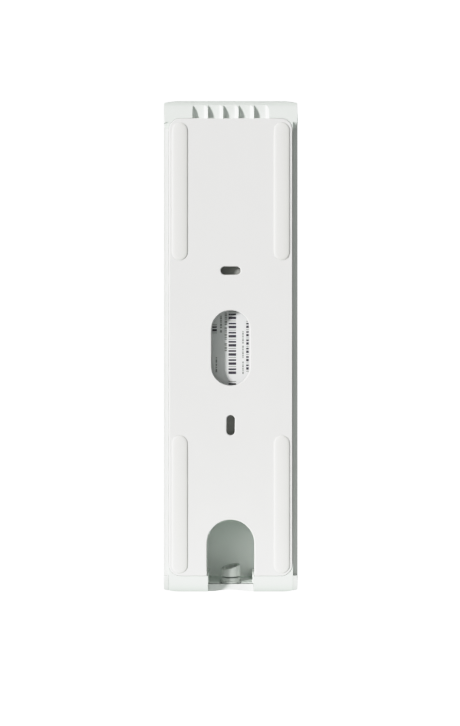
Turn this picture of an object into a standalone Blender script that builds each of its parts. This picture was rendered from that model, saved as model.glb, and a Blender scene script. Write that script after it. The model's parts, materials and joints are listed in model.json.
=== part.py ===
"""Video doorbell: a wall plate with four adhesive pads, and the unit that hooks onto it.

Metres, +Z up, front towards -Y, wall towards +Y. The origin is the centre of the oval cable hole, on the
wall plane that the pads rest against. The unit tilts off the plate about the plate's top rear edge, and
the button slides inwards.
"""

import math

import bmesh
import bpy
from mathutils import Vector

# Driving dimensions --------------------------------------------------------------------------------

GAP = 0.0003            # between pieces that touch on the real object
ARC_STEPS = 10          # points on a quarter circle of an outline
ROUND_SIDES = 32        # sides of a visible round piece
SMALL_SIDES = 16        # sides of a small round piece

BODY_HALF = 0.0261      # half the unit's width
BODY_TOP = 0.0971
BODY_BOTTOM = -0.0956
BODY_FRONT = -0.0280
CROWN_START = 0.0180    # the ends are straight to here, then fall away to the corners
CROWN_DROP = 0.0014
CORNER_RADIUS = 0.0008

PLATE_HALF = 0.0240
PLATE_TOP = 0.0891
PLATE_BOTTOM = -0.0885
PLATE_RADIUS = 0.0045
PLATE_REAR = -0.0007
PLATE_FLOOR = 0.0020    # thickness of the tray's floor
PLATE_SKIRT = 0.0012    # thickness of the tray's skirt
SKIRT_FRONT = -0.0052
SLOT_PITCH = 0.0600     # between the two screw slots
SLOT_LENGTH = 0.0078
SLOT_WIDTH = 0.0032
SEAT_MARGIN = 0.0030    # raised seat for the screw head, round each slot
SEAT_HEIGHT = 0.0004
HOLE_LENGTH = 0.0292    # oval cable hole
HOLE_WIDTH = 0.0150
ARCH_HALF = 0.0092
ARCH_TOP = -0.0667

PAD_LENGTH = 0.0535
PAD_WIDTH = 0.0063
PAD_X = 0.0198
PAD_Z = 0.0607
PAD_DEPTH = 0.0009
RECESS_DEPTH = 0.0005
RECESS_MARGIN = 0.0003

HOOK_X = 0.0175         # hooks at the plate's top and catches at its foot
HOOK_WIDTH = 0.0050
HOOK_TOP = 0.0909
HOOK_REAR = -0.0039
HOOK_FRONT = -0.0050
CATCH_Z = -0.0780
CATCH_DEPTH = 0.0020
CATCH_FRONT = -0.0084
CATCH_CLEARANCE = 0.0006

HOUSING_HALF = 0.0240
HOUSING_WALL = 0.0016
HOUSING_BACK = -0.0057  # the face behind the wall plate
HOUSING_FRONT = -0.0120
CAP_REAR = -0.0009      # the rounded ends, level with the plate
CAP_EDGE = 0.0886       # lower edge of the full-width top cap, before its fall
FOOT_STEP = -0.0863     # the foot cap's corners reach up to here beside the plate
FLUTE_COUNT = 5
FLUTE_PITCH = 0.00597
FLUTE_RADIUS = 0.00295
FLUTE_AXIS_Y = -0.0004

BAY_HALF = 0.0120       # cable bay in the foot of the rear housing
BAY_TOP = -0.0520
BAY_BOTTOM = -0.0882
BAY_FLOOR = -0.0205
BAY_WALL = 0.0014
CHANNEL_HALF = 0.0086
CHANNEL_SILL = -0.0913  # floor of the channel behind the cover's tongue
CHANNEL_MOUTH = -0.0089  # in front of this the channel is open below, down to the tongue

LABEL_HALF = 0.0160
LABEL_END = 0.0240
LABEL_THICK = 0.0002

COVER_WALL = 0.0020
MARGIN_REAR = -0.0030   # the margins beside the plate, which slope out to the sides
MARGIN_DROP = 0.0004
MARGIN_FOOT = -0.0884
COVER_INNER_HALF = 0.0234
COVER_END_WALL = 0.0029
FRONT_ROUND = 0.0034     # round edge of the front face
REAR_ROUND = 0.0005
SEAL_STEP = -0.0135
LIP_REAR = -0.0086      # the cover's tongue across the cable channel
NOTCH_DEPTH = 0.0006
NOTCH_HALF = 0.0082

GROMMET_Y = -0.0125
GROMMET_RADIUS = 0.00380
GROMMET_FLANGE = 0.0041
GROMMET_NECK = 0.00295
GROMMET_TOP = -0.0905
PLUG_RADIUS = 0.0037
PLUG_FOOT = -0.0900     # underside of the plug's head
PLUG_FLOOR = -0.0878    # bottom of the cup in the plug's head
PLUG_TOP = -0.0849      # the cup's rim at its highest

WINDOW_HALF = 0.0200
WINDOW_BOTTOM = 0.0300
WINDOW_TOP = 0.0880
WINDOW_THICK = 0.0009
LENS_Z = 0.0660
MOTION_Z = 0.0420
SPEAKER_Z = 0.0130
SPEAKER_SLOTS = 5
BUTTON_Z = -0.0220
BUTTON_RADIUS = 0.0140
BUTTON_TRAVEL = 0.0006
MICROPHONE_Z = -0.0465

POST_X = 0.0196         # screw posts that hold the two shells together
POST_Z = (0.0800, -0.0450)
POST_RADIUS = 0.0024
BOSS_X = 0.0130         # bosses under the main board
BOSS_Z = (0.0700, -0.0420)
BOARD_FRONT = -0.0162
BOARD_THICK = 0.0012
SENSOR_BOARD_REAR = -0.0202

BODY_END_WALL_TOP = BODY_TOP - COVER_END_WALL
BODY_END_WALL_FOOT = BODY_BOTTOM + COVER_END_WALL
PIVOT = Vector((0.0, PLATE_REAR, PLATE_TOP + GAP / 2))

# Scene ---------------------------------------------------------------------------------------------

for old in list(bpy.data.objects):
    bpy.data.objects.remove(old, do_unlink=True)

parts = bpy.data.collections.new("video_doorbell")
cutters = bpy.data.collections.new("cutters")
bpy.context.scene.collection.children.link(parts)
bpy.context.scene.collection.children.link(cutters)


def material(name, colour, roughness, metallic=0.0):
    """A Principled material with one colour, roughness and metallic value."""
    made = bpy.data.materials.new(name)
    made.use_nodes = True
    shader = made.node_tree.nodes["Principled BSDF"]
    shader.inputs["Base Color"].default_value = (*colour, 1.0)
    shader.inputs["Roughness"].default_value = roughness
    shader.inputs["Metallic"].default_value = metallic
    return made


WHITE_SHELL = material("white_shell", (0.80, 0.81, 0.80), 0.45)
WHITE_PLATE = material("white_plate", (0.78, 0.79, 0.78), 0.50)
PAD_FOAM = material("pad_foam", (0.76, 0.75, 0.72), 0.60)
LABEL_FILM = material("label_film", (0.62, 0.63, 0.63), 0.35)
GREY_RUBBER = material("grey_rubber", (0.52, 0.55, 0.52), 0.70)
DARK_RUBBER = material("dark_rubber", (0.04, 0.04, 0.04), 0.75)
BLACK_GLOSS = material("black_gloss", (0.01, 0.01, 0.012), 0.08)
BLACK_PLASTIC = material("black_plastic", (0.02, 0.02, 0.02), 0.45)
LENS_GLASS = material("lens_glass", (0.05, 0.06, 0.09), 0.03)
LIGHT_GUIDE = material("light_guide", (0.75, 0.82, 0.85), 0.25)
MOTION_LENS = material("motion_lens", (0.82, 0.82, 0.80), 0.35)
BUTTON_WHITE = material("button_white", (0.85, 0.85, 0.84), 0.30)
BOARD_GREEN = material("board_green", (0.03, 0.16, 0.08), 0.50)
CHIP_BLACK = material("chip_black", (0.03, 0.03, 0.03), 0.55)
TIN = material("tin", (0.62, 0.62, 0.60), 0.35, 1.0)
ALUMINIUM = material("aluminium", (0.72, 0.73, 0.74), 0.40, 1.0)
STEEL = material("steel", (0.55, 0.55, 0.56), 0.35, 1.0)
GOLD_FLEX = material("gold_flex", (0.60, 0.42, 0.16), 0.45)
TERMINAL_GREEN = material("terminal_green", (0.08, 0.35, 0.16), 0.45)
CELL_SLEEVE = material("cell_sleeve", (0.10, 0.16, 0.34), 0.40)

# Outlines, as lists of (x, z) ----------------------------------------------------------------------


def arc(centre_x, centre_z, radius, start, end, steps=ARC_STEPS):
    """Points of an arc, with angles in degrees."""
    points = []
    for step in range(steps + 1):
        angle = math.radians(start + (end - start) * step / steps)
        points.append((centre_x + radius * math.cos(angle), centre_z + radius * math.sin(angle)))
    return points


def rounded_box(half_x, low_z, high_z, radius, steps=ARC_STEPS):
    """Outline of a box with round corners, centred on x = 0."""
    side = half_x - radius
    points = arc(side, high_z - radius, radius, 0, 90, steps)
    points += arc(-side, high_z - radius, radius, 90, 180, steps)
    points += arc(-side, low_z + radius, radius, 180, 270, steps)
    points += arc(side, low_z + radius, radius, 270, 360, steps)
    return points


def capsule(centre_x, centre_z, length, width, upright=True, steps=ARC_STEPS):
    """Outline of a strip with full round ends."""
    radius = width / 2
    reach = length / 2 - radius
    if upright:
        points = arc(centre_x, centre_z + reach, radius, 0, 180, 2 * steps)
        points += arc(centre_x, centre_z - reach, radius, 180, 360, 2 * steps)
    else:
        points = arc(centre_x + reach, centre_z, radius, -90, 90, 2 * steps)
        points += arc(centre_x - reach, centre_z, radius, 90, 270, 2 * steps)
    return points


def crown_fall(x):
    """How far an end of the unit has fallen away at x."""
    past = max(0.0, abs(x) - CROWN_START) / (BODY_HALF - CROWN_START)
    return CROWN_DROP * past ** 2


def crowned_end(half_x, level, up):
    """One end of the unit's outline, from right to left. It falls away to tight round corners."""
    turn = half_x - CORNER_RADIUS
    steps = 6
    corner_z = level - up * (crown_fall(turn) + CORNER_RADIUS)
    right = arc(turn, corner_z, CORNER_RADIUS, 0, up * 90, 3)
    for step in range(1, steps + 1):
        x = turn + (CROWN_START - turn) * step / steps
        right.append((x, level - up * crown_fall(x)))
    return right + [(-x, z) for x, z in reversed(right)]


def shoulder(inner, drop):
    """Lower edge of the top cap on the right, from its inner to its outer end."""
    steps = 4
    points = []
    for step in range(steps + 1):
        x = inner + (BODY_HALF - inner) * step / steps
        points.append((x, CAP_EDGE - crown_fall(x) - drop))
    return points


def unit_plan():
    """Outline of the unit: straight sides, and ends that fall away to tight round corners."""
    foot = crowned_end(BODY_HALF, BODY_BOTTOM, -1)
    return list(reversed(foot)) + crowned_end(BODY_HALF, BODY_TOP, 1)


def housing_plan():
    """Outline of the rear housing: a full-width cap at the top, and narrower sides and foot."""
    foot = crowned_end(HOUSING_HALF, BODY_BOTTOM, -1)
    right = shoulder(HOUSING_HALF, 0.0)
    left = [(-x, z) for x, z in reversed(right)]
    return list(reversed(foot)) + right + crowned_end(BODY_HALF, BODY_TOP, 1) + left


def side_profile():
    """The unit from the side, as (y, z): rounded ends at the back and a round edge at the front."""
    top_radius = BODY_TOP - PLATE_TOP
    foot_radius = PLATE_BOTTOM - BODY_BOTTOM
    front = BODY_FRONT + FRONT_ROUND
    points = arc(CAP_REAR - top_radius, PLATE_TOP, top_radius, 0, 90, 12)
    points += arc(front, BODY_TOP - FRONT_ROUND, FRONT_ROUND, 90, 180, 6)
    points += arc(front, BODY_BOTTOM + FRONT_ROUND, FRONT_ROUND, 180, 270, 6)
    points += arc(CAP_REAR - foot_radius, PLATE_BOTTOM, foot_radius, 270, 360, 12)
    return points


def cross_section():
    """The unit from above, as (x, y): a wide round at the front and a small one at the rear."""
    rear, front = BODY_HALF - REAR_ROUND, BODY_HALF - FRONT_ROUND
    points = arc(rear, CAP_REAR - REAR_ROUND, REAR_ROUND, 0, 90, 3)
    points += arc(-rear, CAP_REAR - REAR_ROUND, REAR_ROUND, 90, 180, 3)
    points += arc(-front, BODY_FRONT + FRONT_ROUND, FRONT_ROUND, 180, 270, 6)
    points += arc(front, BODY_FRONT + FRONT_ROUND, FRONT_ROUND, 270, 360, 6)
    return points


# Solids --------------------------------------------------------------------------------------------


def place(name, mesh, finish, collection=parts):
    """A new object, smooth where its faces meet at less than 35 degrees."""
    made = bpy.data.objects.new(name, mesh)
    if finish is not None:
        mesh.materials.append(finish)
    mesh.shade_smooth()
    mesh.set_sharp_from_angle(angle=math.radians(35))
    collection.objects.link(made)
    return made


def round_edges(made, width, segments=2, angle=40):
    """Rounds the edges that are sharper than the angle."""
    bevel = made.modifiers.new("round_edges", "BEVEL")
    bevel.width = width
    bevel.segments = segments
    bevel.limit_method = "ANGLE"
    bevel.angle_limit = math.radians(angle)
    bevel.use_clamp_overlap = True
    return made


def box(name, low, high, finish=None, edge=0.0):
    """A box between two corners."""
    size = Vector(high) - Vector(low)
    shape = bmesh.new()
    bmesh.ops.create_cube(shape, size=1.0)
    bmesh.ops.scale(shape, vec=size, verts=shape.verts)
    mesh = bpy.data.meshes.new(name)
    shape.to_mesh(mesh)
    shape.free()
    made = place(name, mesh, finish, parts if finish else cutters)
    made.location = (Vector(low) + Vector(high)) / 2
    if edge:
        round_edges(made, edge)
    return made


def rod(name, centre, radius, length, axis, finish, sides=SMALL_SIDES, edge=0.0):
    """A cylinder about its centre, along "X", "Y" or "Z"."""
    shape = bmesh.new()
    bmesh.ops.create_cone(
        shape, cap_ends=True, segments=sides, radius1=radius, radius2=radius, depth=length
    )
    mesh = bpy.data.meshes.new(name)
    shape.to_mesh(mesh)
    shape.free()
    made = place(name, mesh, finish, parts if finish else cutters)
    made.location = centre
    if axis == "Y":
        made.rotation_euler = (math.pi / 2, 0.0, 0.0)
    if axis == "X":
        made.rotation_euler = (0.0, math.pi / 2, 0.0)
    if edge:
        round_edges(made, edge)
    return made


def prism(name, outline, across, low, high, finish):
    """An outline made solid along one axis, between two values.

    Its points are (y, z) where it is made solid along "X", (x, z) along "Y" and (x, y) along "Z".
    """
    quarter = math.pi / 2
    turns = {"X": (quarter, 0.0, quarter), "Y": (quarter, 0.0, 0.0), "Z": (0.0, 0.0, 0.0)}
    curve = bpy.data.curves.new(name, "CURVE")
    curve.dimensions = "2D"
    curve.fill_mode = "BOTH"
    curve.extrude = (high - low) / 2
    spline = curve.splines.new("POLY")
    spline.points.add(len(outline) - 1)
    for point, (first, second) in zip(spline.points, outline):
        point.co = (first, second, 0.0, 1.0)
    spline.use_cyclic_u = True
    guide = bpy.data.objects.new(name + "_curve", curve)
    guide.location["XYZ".index(across)] = (low + high) / 2
    guide.rotation_euler = turns[across]
    bpy.context.scene.collection.objects.link(guide)
    bpy.context.view_layer.update()
    mesh = bpy.data.meshes.new_from_object(guide.evaluated_get(bpy.context.evaluated_depsgraph_get()))
    shape = bmesh.new()
    shape.from_mesh(mesh)
    bmesh.ops.remove_doubles(shape, verts=shape.verts, dist=0.000001)
    bmesh.ops.recalc_face_normals(shape, faces=shape.faces)
    shape.to_mesh(mesh)
    shape.free()
    mesh.name = name
    made = place(name, mesh, finish, parts if finish else cutters)
    made.matrix_world = guide.matrix_world
    bpy.data.objects.remove(guide, do_unlink=True)
    return made


def slab(name, outline, rear, front, finish):
    """An outline of (x, z) points, made solid between its rear and front Y values."""
    return prism(name, outline, "Y", front, rear, finish)


def turned(name, profile, centre, finish, sides=ROUND_SIDES, forward=True):
    """A turned piece. The profile's (radius, height) points run down the outer side, top to bottom.

    Height runs towards the front where forward is set, and upwards where it isn't.
    """
    mesh = bpy.data.meshes.new(name)
    points = [(radius, 0.0, height) for radius, height in profile]
    mesh.from_pydata(points, [(i, i + 1) for i in range(len(points) - 1)], [])
    made = place(name, mesh, finish, parts if finish else cutters)
    screw = made.modifiers.new("turn", "SCREW")
    screw.axis = "Z"
    screw.steps = sides
    screw.render_steps = sides
    screw.use_merge_vertices = True
    screw.merge_threshold = 0.00001
    screw.use_smooth_shade = False
    made.location = centre
    if forward:
        made.rotation_euler = (math.pi / 2, 0.0, 0.0)
    return made


def combine(target, other, operation):
    """A Boolean with a hidden wire object."""
    other.hide_render = True
    other.display_type = "WIRE"
    step = target.modifiers.new(other.name, "BOOLEAN")
    step.operation = operation
    step.object = other
    step.solver = "EXACT"


def cut(target, other):
    combine(target, other, "DIFFERENCE")


def join(target, other):
    combine(target, other, "UNION")


# The wall plate and its pads -----------------------------------------------------------------------


def wall_plate():
    """A tray that opens forwards, with hooks at its top and catches near its foot."""
    outline = rounded_box(PLATE_HALF, PLATE_BOTTOM, PLATE_TOP, PLATE_RADIUS)
    plate = slab("wall_plate", outline, PLATE_REAR, SKIRT_FRONT, WHITE_PLATE)
    round_edges(plate, 0.0006, segments=2, angle=60)
    hollow = rounded_box(
        PLATE_HALF - PLATE_SKIRT, PLATE_BOTTOM + PLATE_SKIRT, PLATE_TOP - PLATE_SKIRT,
        PLATE_RADIUS - PLATE_SKIRT, steps=5,
    )
    floor_front = PLATE_REAR - PLATE_FLOOR
    cut(plate, slab("cut_plate_tray", hollow, floor_front, SKIRT_FRONT - 0.002, None))
    for side in (-1, 1):
        across = (side * HOOK_X - HOOK_WIDTH / 2, side * HOOK_X + HOOK_WIDTH / 2)
        tag = "left" if side < 0 else "right"
        hook = box(
            "join_hook_" + tag,
            (across[0], HOOK_FRONT, PLATE_TOP - 0.0010),
            (across[1], HOOK_REAR, HOOK_TOP),
            None,
        )
        join(plate, hook)
        catch = box(
            "join_catch_" + tag,
            (across[0], CATCH_FRONT, CATCH_Z - CATCH_DEPTH / 2),
            (across[1], floor_front + 0.0005, CATCH_Z + CATCH_DEPTH / 2),
            None,
        )
        join(plate, catch)
        for end in (-1, 1):
            name = "cut_pad_recess_{}_{}".format("lower" if end < 0 else "upper", tag)
            recess = capsule(
                side * PAD_X, end * PAD_Z, PAD_LENGTH + 2 * RECESS_MARGIN, PAD_WIDTH + 2 * RECESS_MARGIN,
                steps=6,
            )
            cut(plate, slab(name, recess, PLATE_REAR + 0.001, PLATE_REAR - RECESS_DEPTH, None))
    seat_length = SLOT_LENGTH + 2 * SEAT_MARGIN
    seat_width = SLOT_WIDTH + 2 * SEAT_MARGIN
    upper_seat = capsule(0.0, SLOT_PITCH / 2, seat_length, seat_width, upright=False, steps=6)
    lower_seat = capsule(0.0, -SLOT_PITCH / 2, seat_length, seat_width, steps=6)
    seat = (floor_front + 0.0005, floor_front - SEAT_HEIGHT)
    join(plate, slab("join_upper_seat", upper_seat, *seat, None))
    join(plate, slab("join_lower_seat", lower_seat, *seat, None))
    past = (PLATE_REAR + 0.001, SKIRT_FRONT - 0.001)
    upper_slot = capsule(0.0, SLOT_PITCH / 2, SLOT_LENGTH, SLOT_WIDTH, upright=False, steps=6)
    lower_slot = capsule(0.0, -SLOT_PITCH / 2, SLOT_LENGTH, SLOT_WIDTH, steps=6)
    cable_hole = capsule(0.0, 0.0, HOLE_LENGTH, HOLE_WIDTH)
    arch = arc(0.0, ARCH_TOP - ARCH_HALF, ARCH_HALF, 0, 180, 2 * ARC_STEPS)
    arch += [(-ARCH_HALF, PLATE_BOTTOM - 0.005), (ARCH_HALF, PLATE_BOTTOM - 0.005)]
    cut(plate, slab("cut_upper_slot", upper_slot, *past, None))
    cut(plate, slab("cut_lower_slot", lower_slot, *past, None))
    cut(plate, slab("cut_cable_hole", cable_hole, *past, None))
    cut(plate, slab("cut_arch", arch, *past, None))


def pads():
    """Four adhesive pads, whose rear faces lie on the wall plane."""
    for end, level in ((-1, "lower"), (1, "upper")):
        for side, hand in ((-1, "left"), (1, "right")):
            outline = capsule(side * PAD_X, end * PAD_Z, PAD_LENGTH, PAD_WIDTH, steps=6)
            pad = slab("pad_{}_{}".format(level, hand), outline, 0.0, -PAD_DEPTH, PAD_FOAM)
            round_edges(pad, 0.0003, segments=1, angle=60)


def trim_to_body(shell, tag):
    """Gives a shell the unit's rounded ends and edges."""
    combine(shell, prism("trim_ends_" + tag, side_profile(), "X", -0.03, 0.03, None), "INTERSECT")
    combine(shell, prism("trim_sides_" + tag, cross_section(), "Z", -0.11, 0.11, None), "INTERSECT")


# The rear housing ----------------------------------------------------------------------------------


def rear_housing():
    """A tray that opens forwards, with rounded ends, flutes, hook pockets and the cable bay."""
    housing = slab("rear_housing", housing_plan(), 0.001, HOUSING_FRONT, WHITE_SHELL)
    trim_to_body(housing, "housing")
    rebate = rounded_box(
        PLATE_HALF + GAP, PLATE_BOTTOM - GAP, PLATE_TOP + GAP, PLATE_RADIUS + GAP, steps=6
    )
    cut(housing, slab("cut_plate_rebate", rebate, 0.001, HOUSING_BACK, None))
    side_step = box("cut_side_step", (-0.03, HOUSING_BACK, FOOT_STEP), (0.03, 0.001, 0.0870), None)
    cut(housing, side_step)
    inside = HOUSING_HALF - HOUSING_WALL
    hollow = box(
        "cut_housing_hollow",
        (-inside, HOUSING_FRONT - 0.001, BODY_END_WALL_FOOT),
        (inside, HOUSING_BACK - HOUSING_WALL, BODY_END_WALL_TOP),
        None,
    )
    cut(housing, hollow)
    add_cable_bay(housing)
    add_flutes(housing)
    add_hook_pockets(housing)
    add_board_bosses(housing)
    label_recess = box(
        "cut_label_recess",
        (-LABEL_HALF - GAP, HOUSING_BACK - LABEL_THICK - GAP, -LABEL_END - GAP),
        (LABEL_HALF + GAP, HOUSING_BACK + 0.001, LABEL_END + GAP),
        None,
    )
    cut(housing, label_recess)
    for side in (-1, 1):
        for level in POST_Z:
            hole = rod(
                "cut_screw_hole_{}_{:.0f}".format(side, level * 1000),
                (side * POST_X, HOUSING_BACK, level), 0.0013, 0.008, "Y", None,
            )
            cut(housing, hole)


def add_cable_bay(housing):
    """A deep bay behind the plate's arch, with a narrower channel out through the foot."""
    block = box(
        "join_bay_block",
        (-BAY_HALF - BAY_WALL, BAY_FLOOR - BAY_WALL, BODY_END_WALL_FOOT + GAP),
        (BAY_HALF + BAY_WALL, HOUSING_BACK - HOUSING_WALL / 2, BAY_TOP + BAY_WALL),
        None,
    )
    join(housing, block)
    bay = box("cut_bay", (-BAY_HALF, BAY_FLOOR, BAY_BOTTOM), (BAY_HALF, 0.001, BAY_TOP), None)
    cut(housing, bay)
    under_sill = BODY_END_WALL_FOOT + GAP / 2
    for name, rear, low, high in (
        ("cut_channel", BAY_FLOOR, CHANNEL_SILL, BAY_BOTTOM + 0.001),
        ("cut_mouth", CHANNEL_MOUTH, under_sill - 0.001, CHANNEL_SILL + 0.001),
        ("cut_foot_opening", HOUSING_FRONT - 0.001, BODY_BOTTOM - 0.002, under_sill),
    ):
        cut(housing, box(name, (-CHANNEL_HALF, rear, low), (CHANNEL_HALF, 0.001, high), None))
    seat = rod(
        "cut_grommet_seat", (0, GROMMET_Y, CHANNEL_SILL), GROMMET_FLANGE + GAP, 0.004, "Z", None, sides=40
    )
    cut(housing, seat)


def add_flutes(housing):
    """Scooped upright grooves in the rounded top end."""
    for index in range(FLUTE_COUNT):
        x = (index - (FLUTE_COUNT - 1) / 2) * FLUTE_PITCH
        flute = rod(
            "cut_flute_{}".format(index + 1),
            (x, FLUTE_AXIS_Y, PLATE_TOP + 0.004), FLUTE_RADIUS, 0.012, "Z", None, sides=20,
        )
        cut(housing, flute)


def add_hook_pockets(housing):
    """Pockets for the plate's hooks in the top end, and sockets for its catches near the foot."""
    for side in (-1, 1):
        tag = "left" if side < 0 else "right"
        low_x = side * HOOK_X - HOOK_WIDTH / 2 - 0.0004
        high_x = side * HOOK_X + HOOK_WIDTH / 2 + 0.0004
        pocket = box(
            "cut_hook_pocket_" + tag,
            (low_x, HOUSING_BACK - GAP, PLATE_TOP - 0.001),
            (high_x, HOOK_REAR + 0.0007, HOOK_TOP + 0.0007),
            None,
        )
        cut(housing, pocket)
        reach = CATCH_DEPTH / 2 + CATCH_CLEARANCE
        boss = box(
            "join_socket_" + tag,
            (low_x - 0.0008, CATCH_FRONT - 0.0026, CATCH_Z - reach - 0.0012),
            (high_x + 0.0008, HOUSING_BACK - HOUSING_WALL / 2, CATCH_Z + reach + 0.0012),
            None,
        )
        join(housing, boss)
        socket = box(
            "cut_socket_" + tag,
            (low_x, CATCH_FRONT - 0.0010, CATCH_Z - reach),
            (high_x, HOUSING_BACK + 0.001, CATCH_Z + reach),
            None,
        )
        cut(housing, socket)


def add_board_bosses(housing):
    """Four bosses that carry the main board."""
    rear = HOUSING_BACK - HOUSING_WALL / 2
    front = BOARD_FRONT + BOARD_THICK + GAP
    for side in (-1, 1):
        for level in BOSS_Z:
            tag = "{}_{:.0f}".format(side, level * 1000)
            middle = (side * BOSS_X, (rear + front) / 2, level)
            boss = rod("join_boss_" + tag, middle, 0.0024, rear - front, "Y", None)
            join(housing, boss)
            bore = rod(
                "cut_boss_" + tag, (side * BOSS_X, front, level), 0.0012, 0.008, "Y", None, sides=12
            )
            cut(housing, bore)


# The front cover -----------------------------------------------------------------------------------


def front_cover():
    """The outer shell: side walls that reach back past the rear housing, and the front face."""
    cover = slab("front_cover", unit_plan(), 0.001, BODY_FRONT, WHITE_SHELL)
    trim_to_body(cover, "cover")
    beyond = 0.099
    outside = 0.030
    tongue_half = CHANNEL_HALF - GAP
    seat = HOUSING_HALF + GAP
    right = shoulder(seat, GAP) + [(outside, CAP_EDGE - CROWN_DROP - GAP)]
    left = [(-x, z) for x, z in reversed(right)]
    wrap = [(tongue_half, BODY_END_WALL_FOOT), (tongue_half, -beyond), (seat, -beyond)]
    wrap += right + [(outside, beyond), (-outside, beyond)] + left
    wrap += [(-seat, -beyond), (-tongue_half, -beyond), (-tongue_half, BODY_END_WALL_FOOT)]
    cut(cover, slab("cut_cover_wrap", wrap, 0.001, HOUSING_FRONT - GAP, None))
    margin = [
        (seat, MARGIN_REAR), (outside, MARGIN_REAR - MARGIN_DROP * (outside - seat) / (BODY_HALF - seat)),
        (outside, 0.001), (-outside, 0.001),
        (-outside, MARGIN_REAR - MARGIN_DROP * (outside - seat) / (BODY_HALF - seat)), (-seat, MARGIN_REAR),
    ]
    cut(cover, prism("cut_margins", margin, "Z", MARGIN_FOOT, beyond, None))
    tongue_end = box(
        "cut_tongue_end", (-0.009, LIP_REAR, -beyond), (0.009, 0.001, BODY_END_WALL_FOOT + 0.001), None
    )
    cut(cover, tongue_end)
    seal_step = box(
        "cut_seal_step",
        (-seat, SEAL_STEP, BODY_END_WALL_FOOT),
        (seat, HOUSING_FRONT, BODY_TOP - COVER_END_WALL / 2 + GAP),
        None,
    )
    cut(cover, seal_step)
    hollow = box(
        "cut_cover_hollow",
        (-COVER_INNER_HALF, BODY_FRONT + COVER_WALL, BODY_END_WALL_FOOT),
        (COVER_INNER_HALF, SEAL_STEP + 0.001, BODY_END_WALL_TOP),
        None,
    )
    cut(cover, hollow)
    cut(cover, slab("cut_foot_notch", foot_notch(), 0.001, BODY_FRONT - 0.001, None))
    cut_front_openings(cover)
    for side in (-1, 1):
        for level in POST_Z:
            add_screw_post(cover, side, level)


def foot_notch():
    """A shallow arch in the underside of the foot, over the cable channel."""
    points = [(NOTCH_HALF, BODY_BOTTOM - 0.003), (NOTCH_HALF, BODY_BOTTOM - 0.0001)]
    steps = 12
    for step in range(1, steps):
        x = NOTCH_HALF * (1 - 2 * step / steps)
        rise = NOTCH_DEPTH * (1 + math.cos(math.pi * x / NOTCH_HALF)) / 2
        points.append((x, BODY_BOTTOM + rise))
    points += [(-NOTCH_HALF, BODY_BOTTOM - 0.0001), (-NOTCH_HALF, BODY_BOTTOM - 0.003)]
    return points


def cut_front_openings(cover):
    """Openings for the window, light ring, speaker, microphone and grommet."""
    recess = rounded_box(WINDOW_HALF, WINDOW_BOTTOM, WINDOW_TOP, 0.0060, steps=6)
    opening = rounded_box(WINDOW_HALF - 0.003, WINDOW_BOTTOM + 0.003, WINDOW_TOP - 0.003, 0.0035, steps=4)
    recess_floor = BODY_FRONT + WINDOW_THICK + GAP
    cut(cover, slab("cut_window_recess", recess, recess_floor, BODY_FRONT - 0.001, None))
    cut(cover, slab("cut_window_opening", opening, BODY_FRONT + 0.004, BODY_FRONT - 0.001, None))
    wall_middle = BODY_FRONT + COVER_WALL / 2
    ring_hole = rod("cut_ring_hole", (0, wall_middle, BUTTON_Z), 0.0165, 0.005, "Y", None, sides=40)
    cut(cover, ring_hole)
    for row in range(SPEAKER_SLOTS):
        reach = 0.0060 if row in (0, SPEAKER_SLOTS - 1) else 0.0085
        level = SPEAKER_Z + (row - (SPEAKER_SLOTS - 1) / 2) * 0.0030
        grille_slot = capsule(0.0, level, 2 * reach, 0.0012, upright=False, steps=3)
        name = "cut_speaker_slot_{}".format(row + 1)
        cut(cover, slab(name, grille_slot, BODY_FRONT + 0.004, BODY_FRONT - 0.001, None))
    port = rod("cut_microphone_port", (0, wall_middle, MICROPHONE_Z), 0.0008, 0.005, "Y", None, sides=12)
    cut(cover, port)
    lead_hole = rod(
        "cut_lead_hole", (0, GROMMET_Y, BODY_BOTTOM + 0.001), GROMMET_NECK + GAP, 0.006, "Z", None, sides=24
    )
    cut(cover, lead_hole)


def add_screw_post(cover, side, level):
    """A post behind the front face that takes a housing screw."""
    tag = "{}_{:.0f}".format(side, level * 1000)
    rear = HOUSING_BACK - HOUSING_WALL - GAP
    front = BODY_FRONT + COVER_WALL * (0.8 if level > 0 else 0.5)
    middle = (side * POST_X, (rear + front) / 2, level)
    join(cover, rod("join_post_" + tag, middle, POST_RADIUS, rear - front, "Y", None))
    bore = rod("cut_post_" + tag, (side * POST_X, rear - 0.004, level), 0.0013, 0.010, "Y", None, sides=12)
    cut(cover, bore)


# Pieces of the unit --------------------------------------------------------------------------------


def rating_label():
    box(
        "rating_label",
        (-LABEL_HALF, HOUSING_BACK - LABEL_THICK, -LABEL_END),
        (LABEL_HALF, HOUSING_BACK, LABEL_END),
        LABEL_FILM,
    )


def housing_seal():
    """A gasket along both sides and over the top. The foot stays open as a drain."""
    outer, inner = HOUSING_HALF - 0.0002, COVER_INNER_HALF - 0.0002
    top, under_top = BODY_TOP - COVER_END_WALL / 2, BODY_END_WALL_TOP + 0.0002
    foot = BODY_END_WALL_FOOT + GAP
    outline = [
        (outer, foot), (outer, top), (-outer, top), (-outer, foot),
        (-inner, foot), (-inner, under_top), (inner, under_top), (inner, foot),
    ]
    slab("housing_seal", outline, HOUSING_FRONT - GAP, SEAL_STEP + GAP, DARK_RUBBER)


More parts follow.
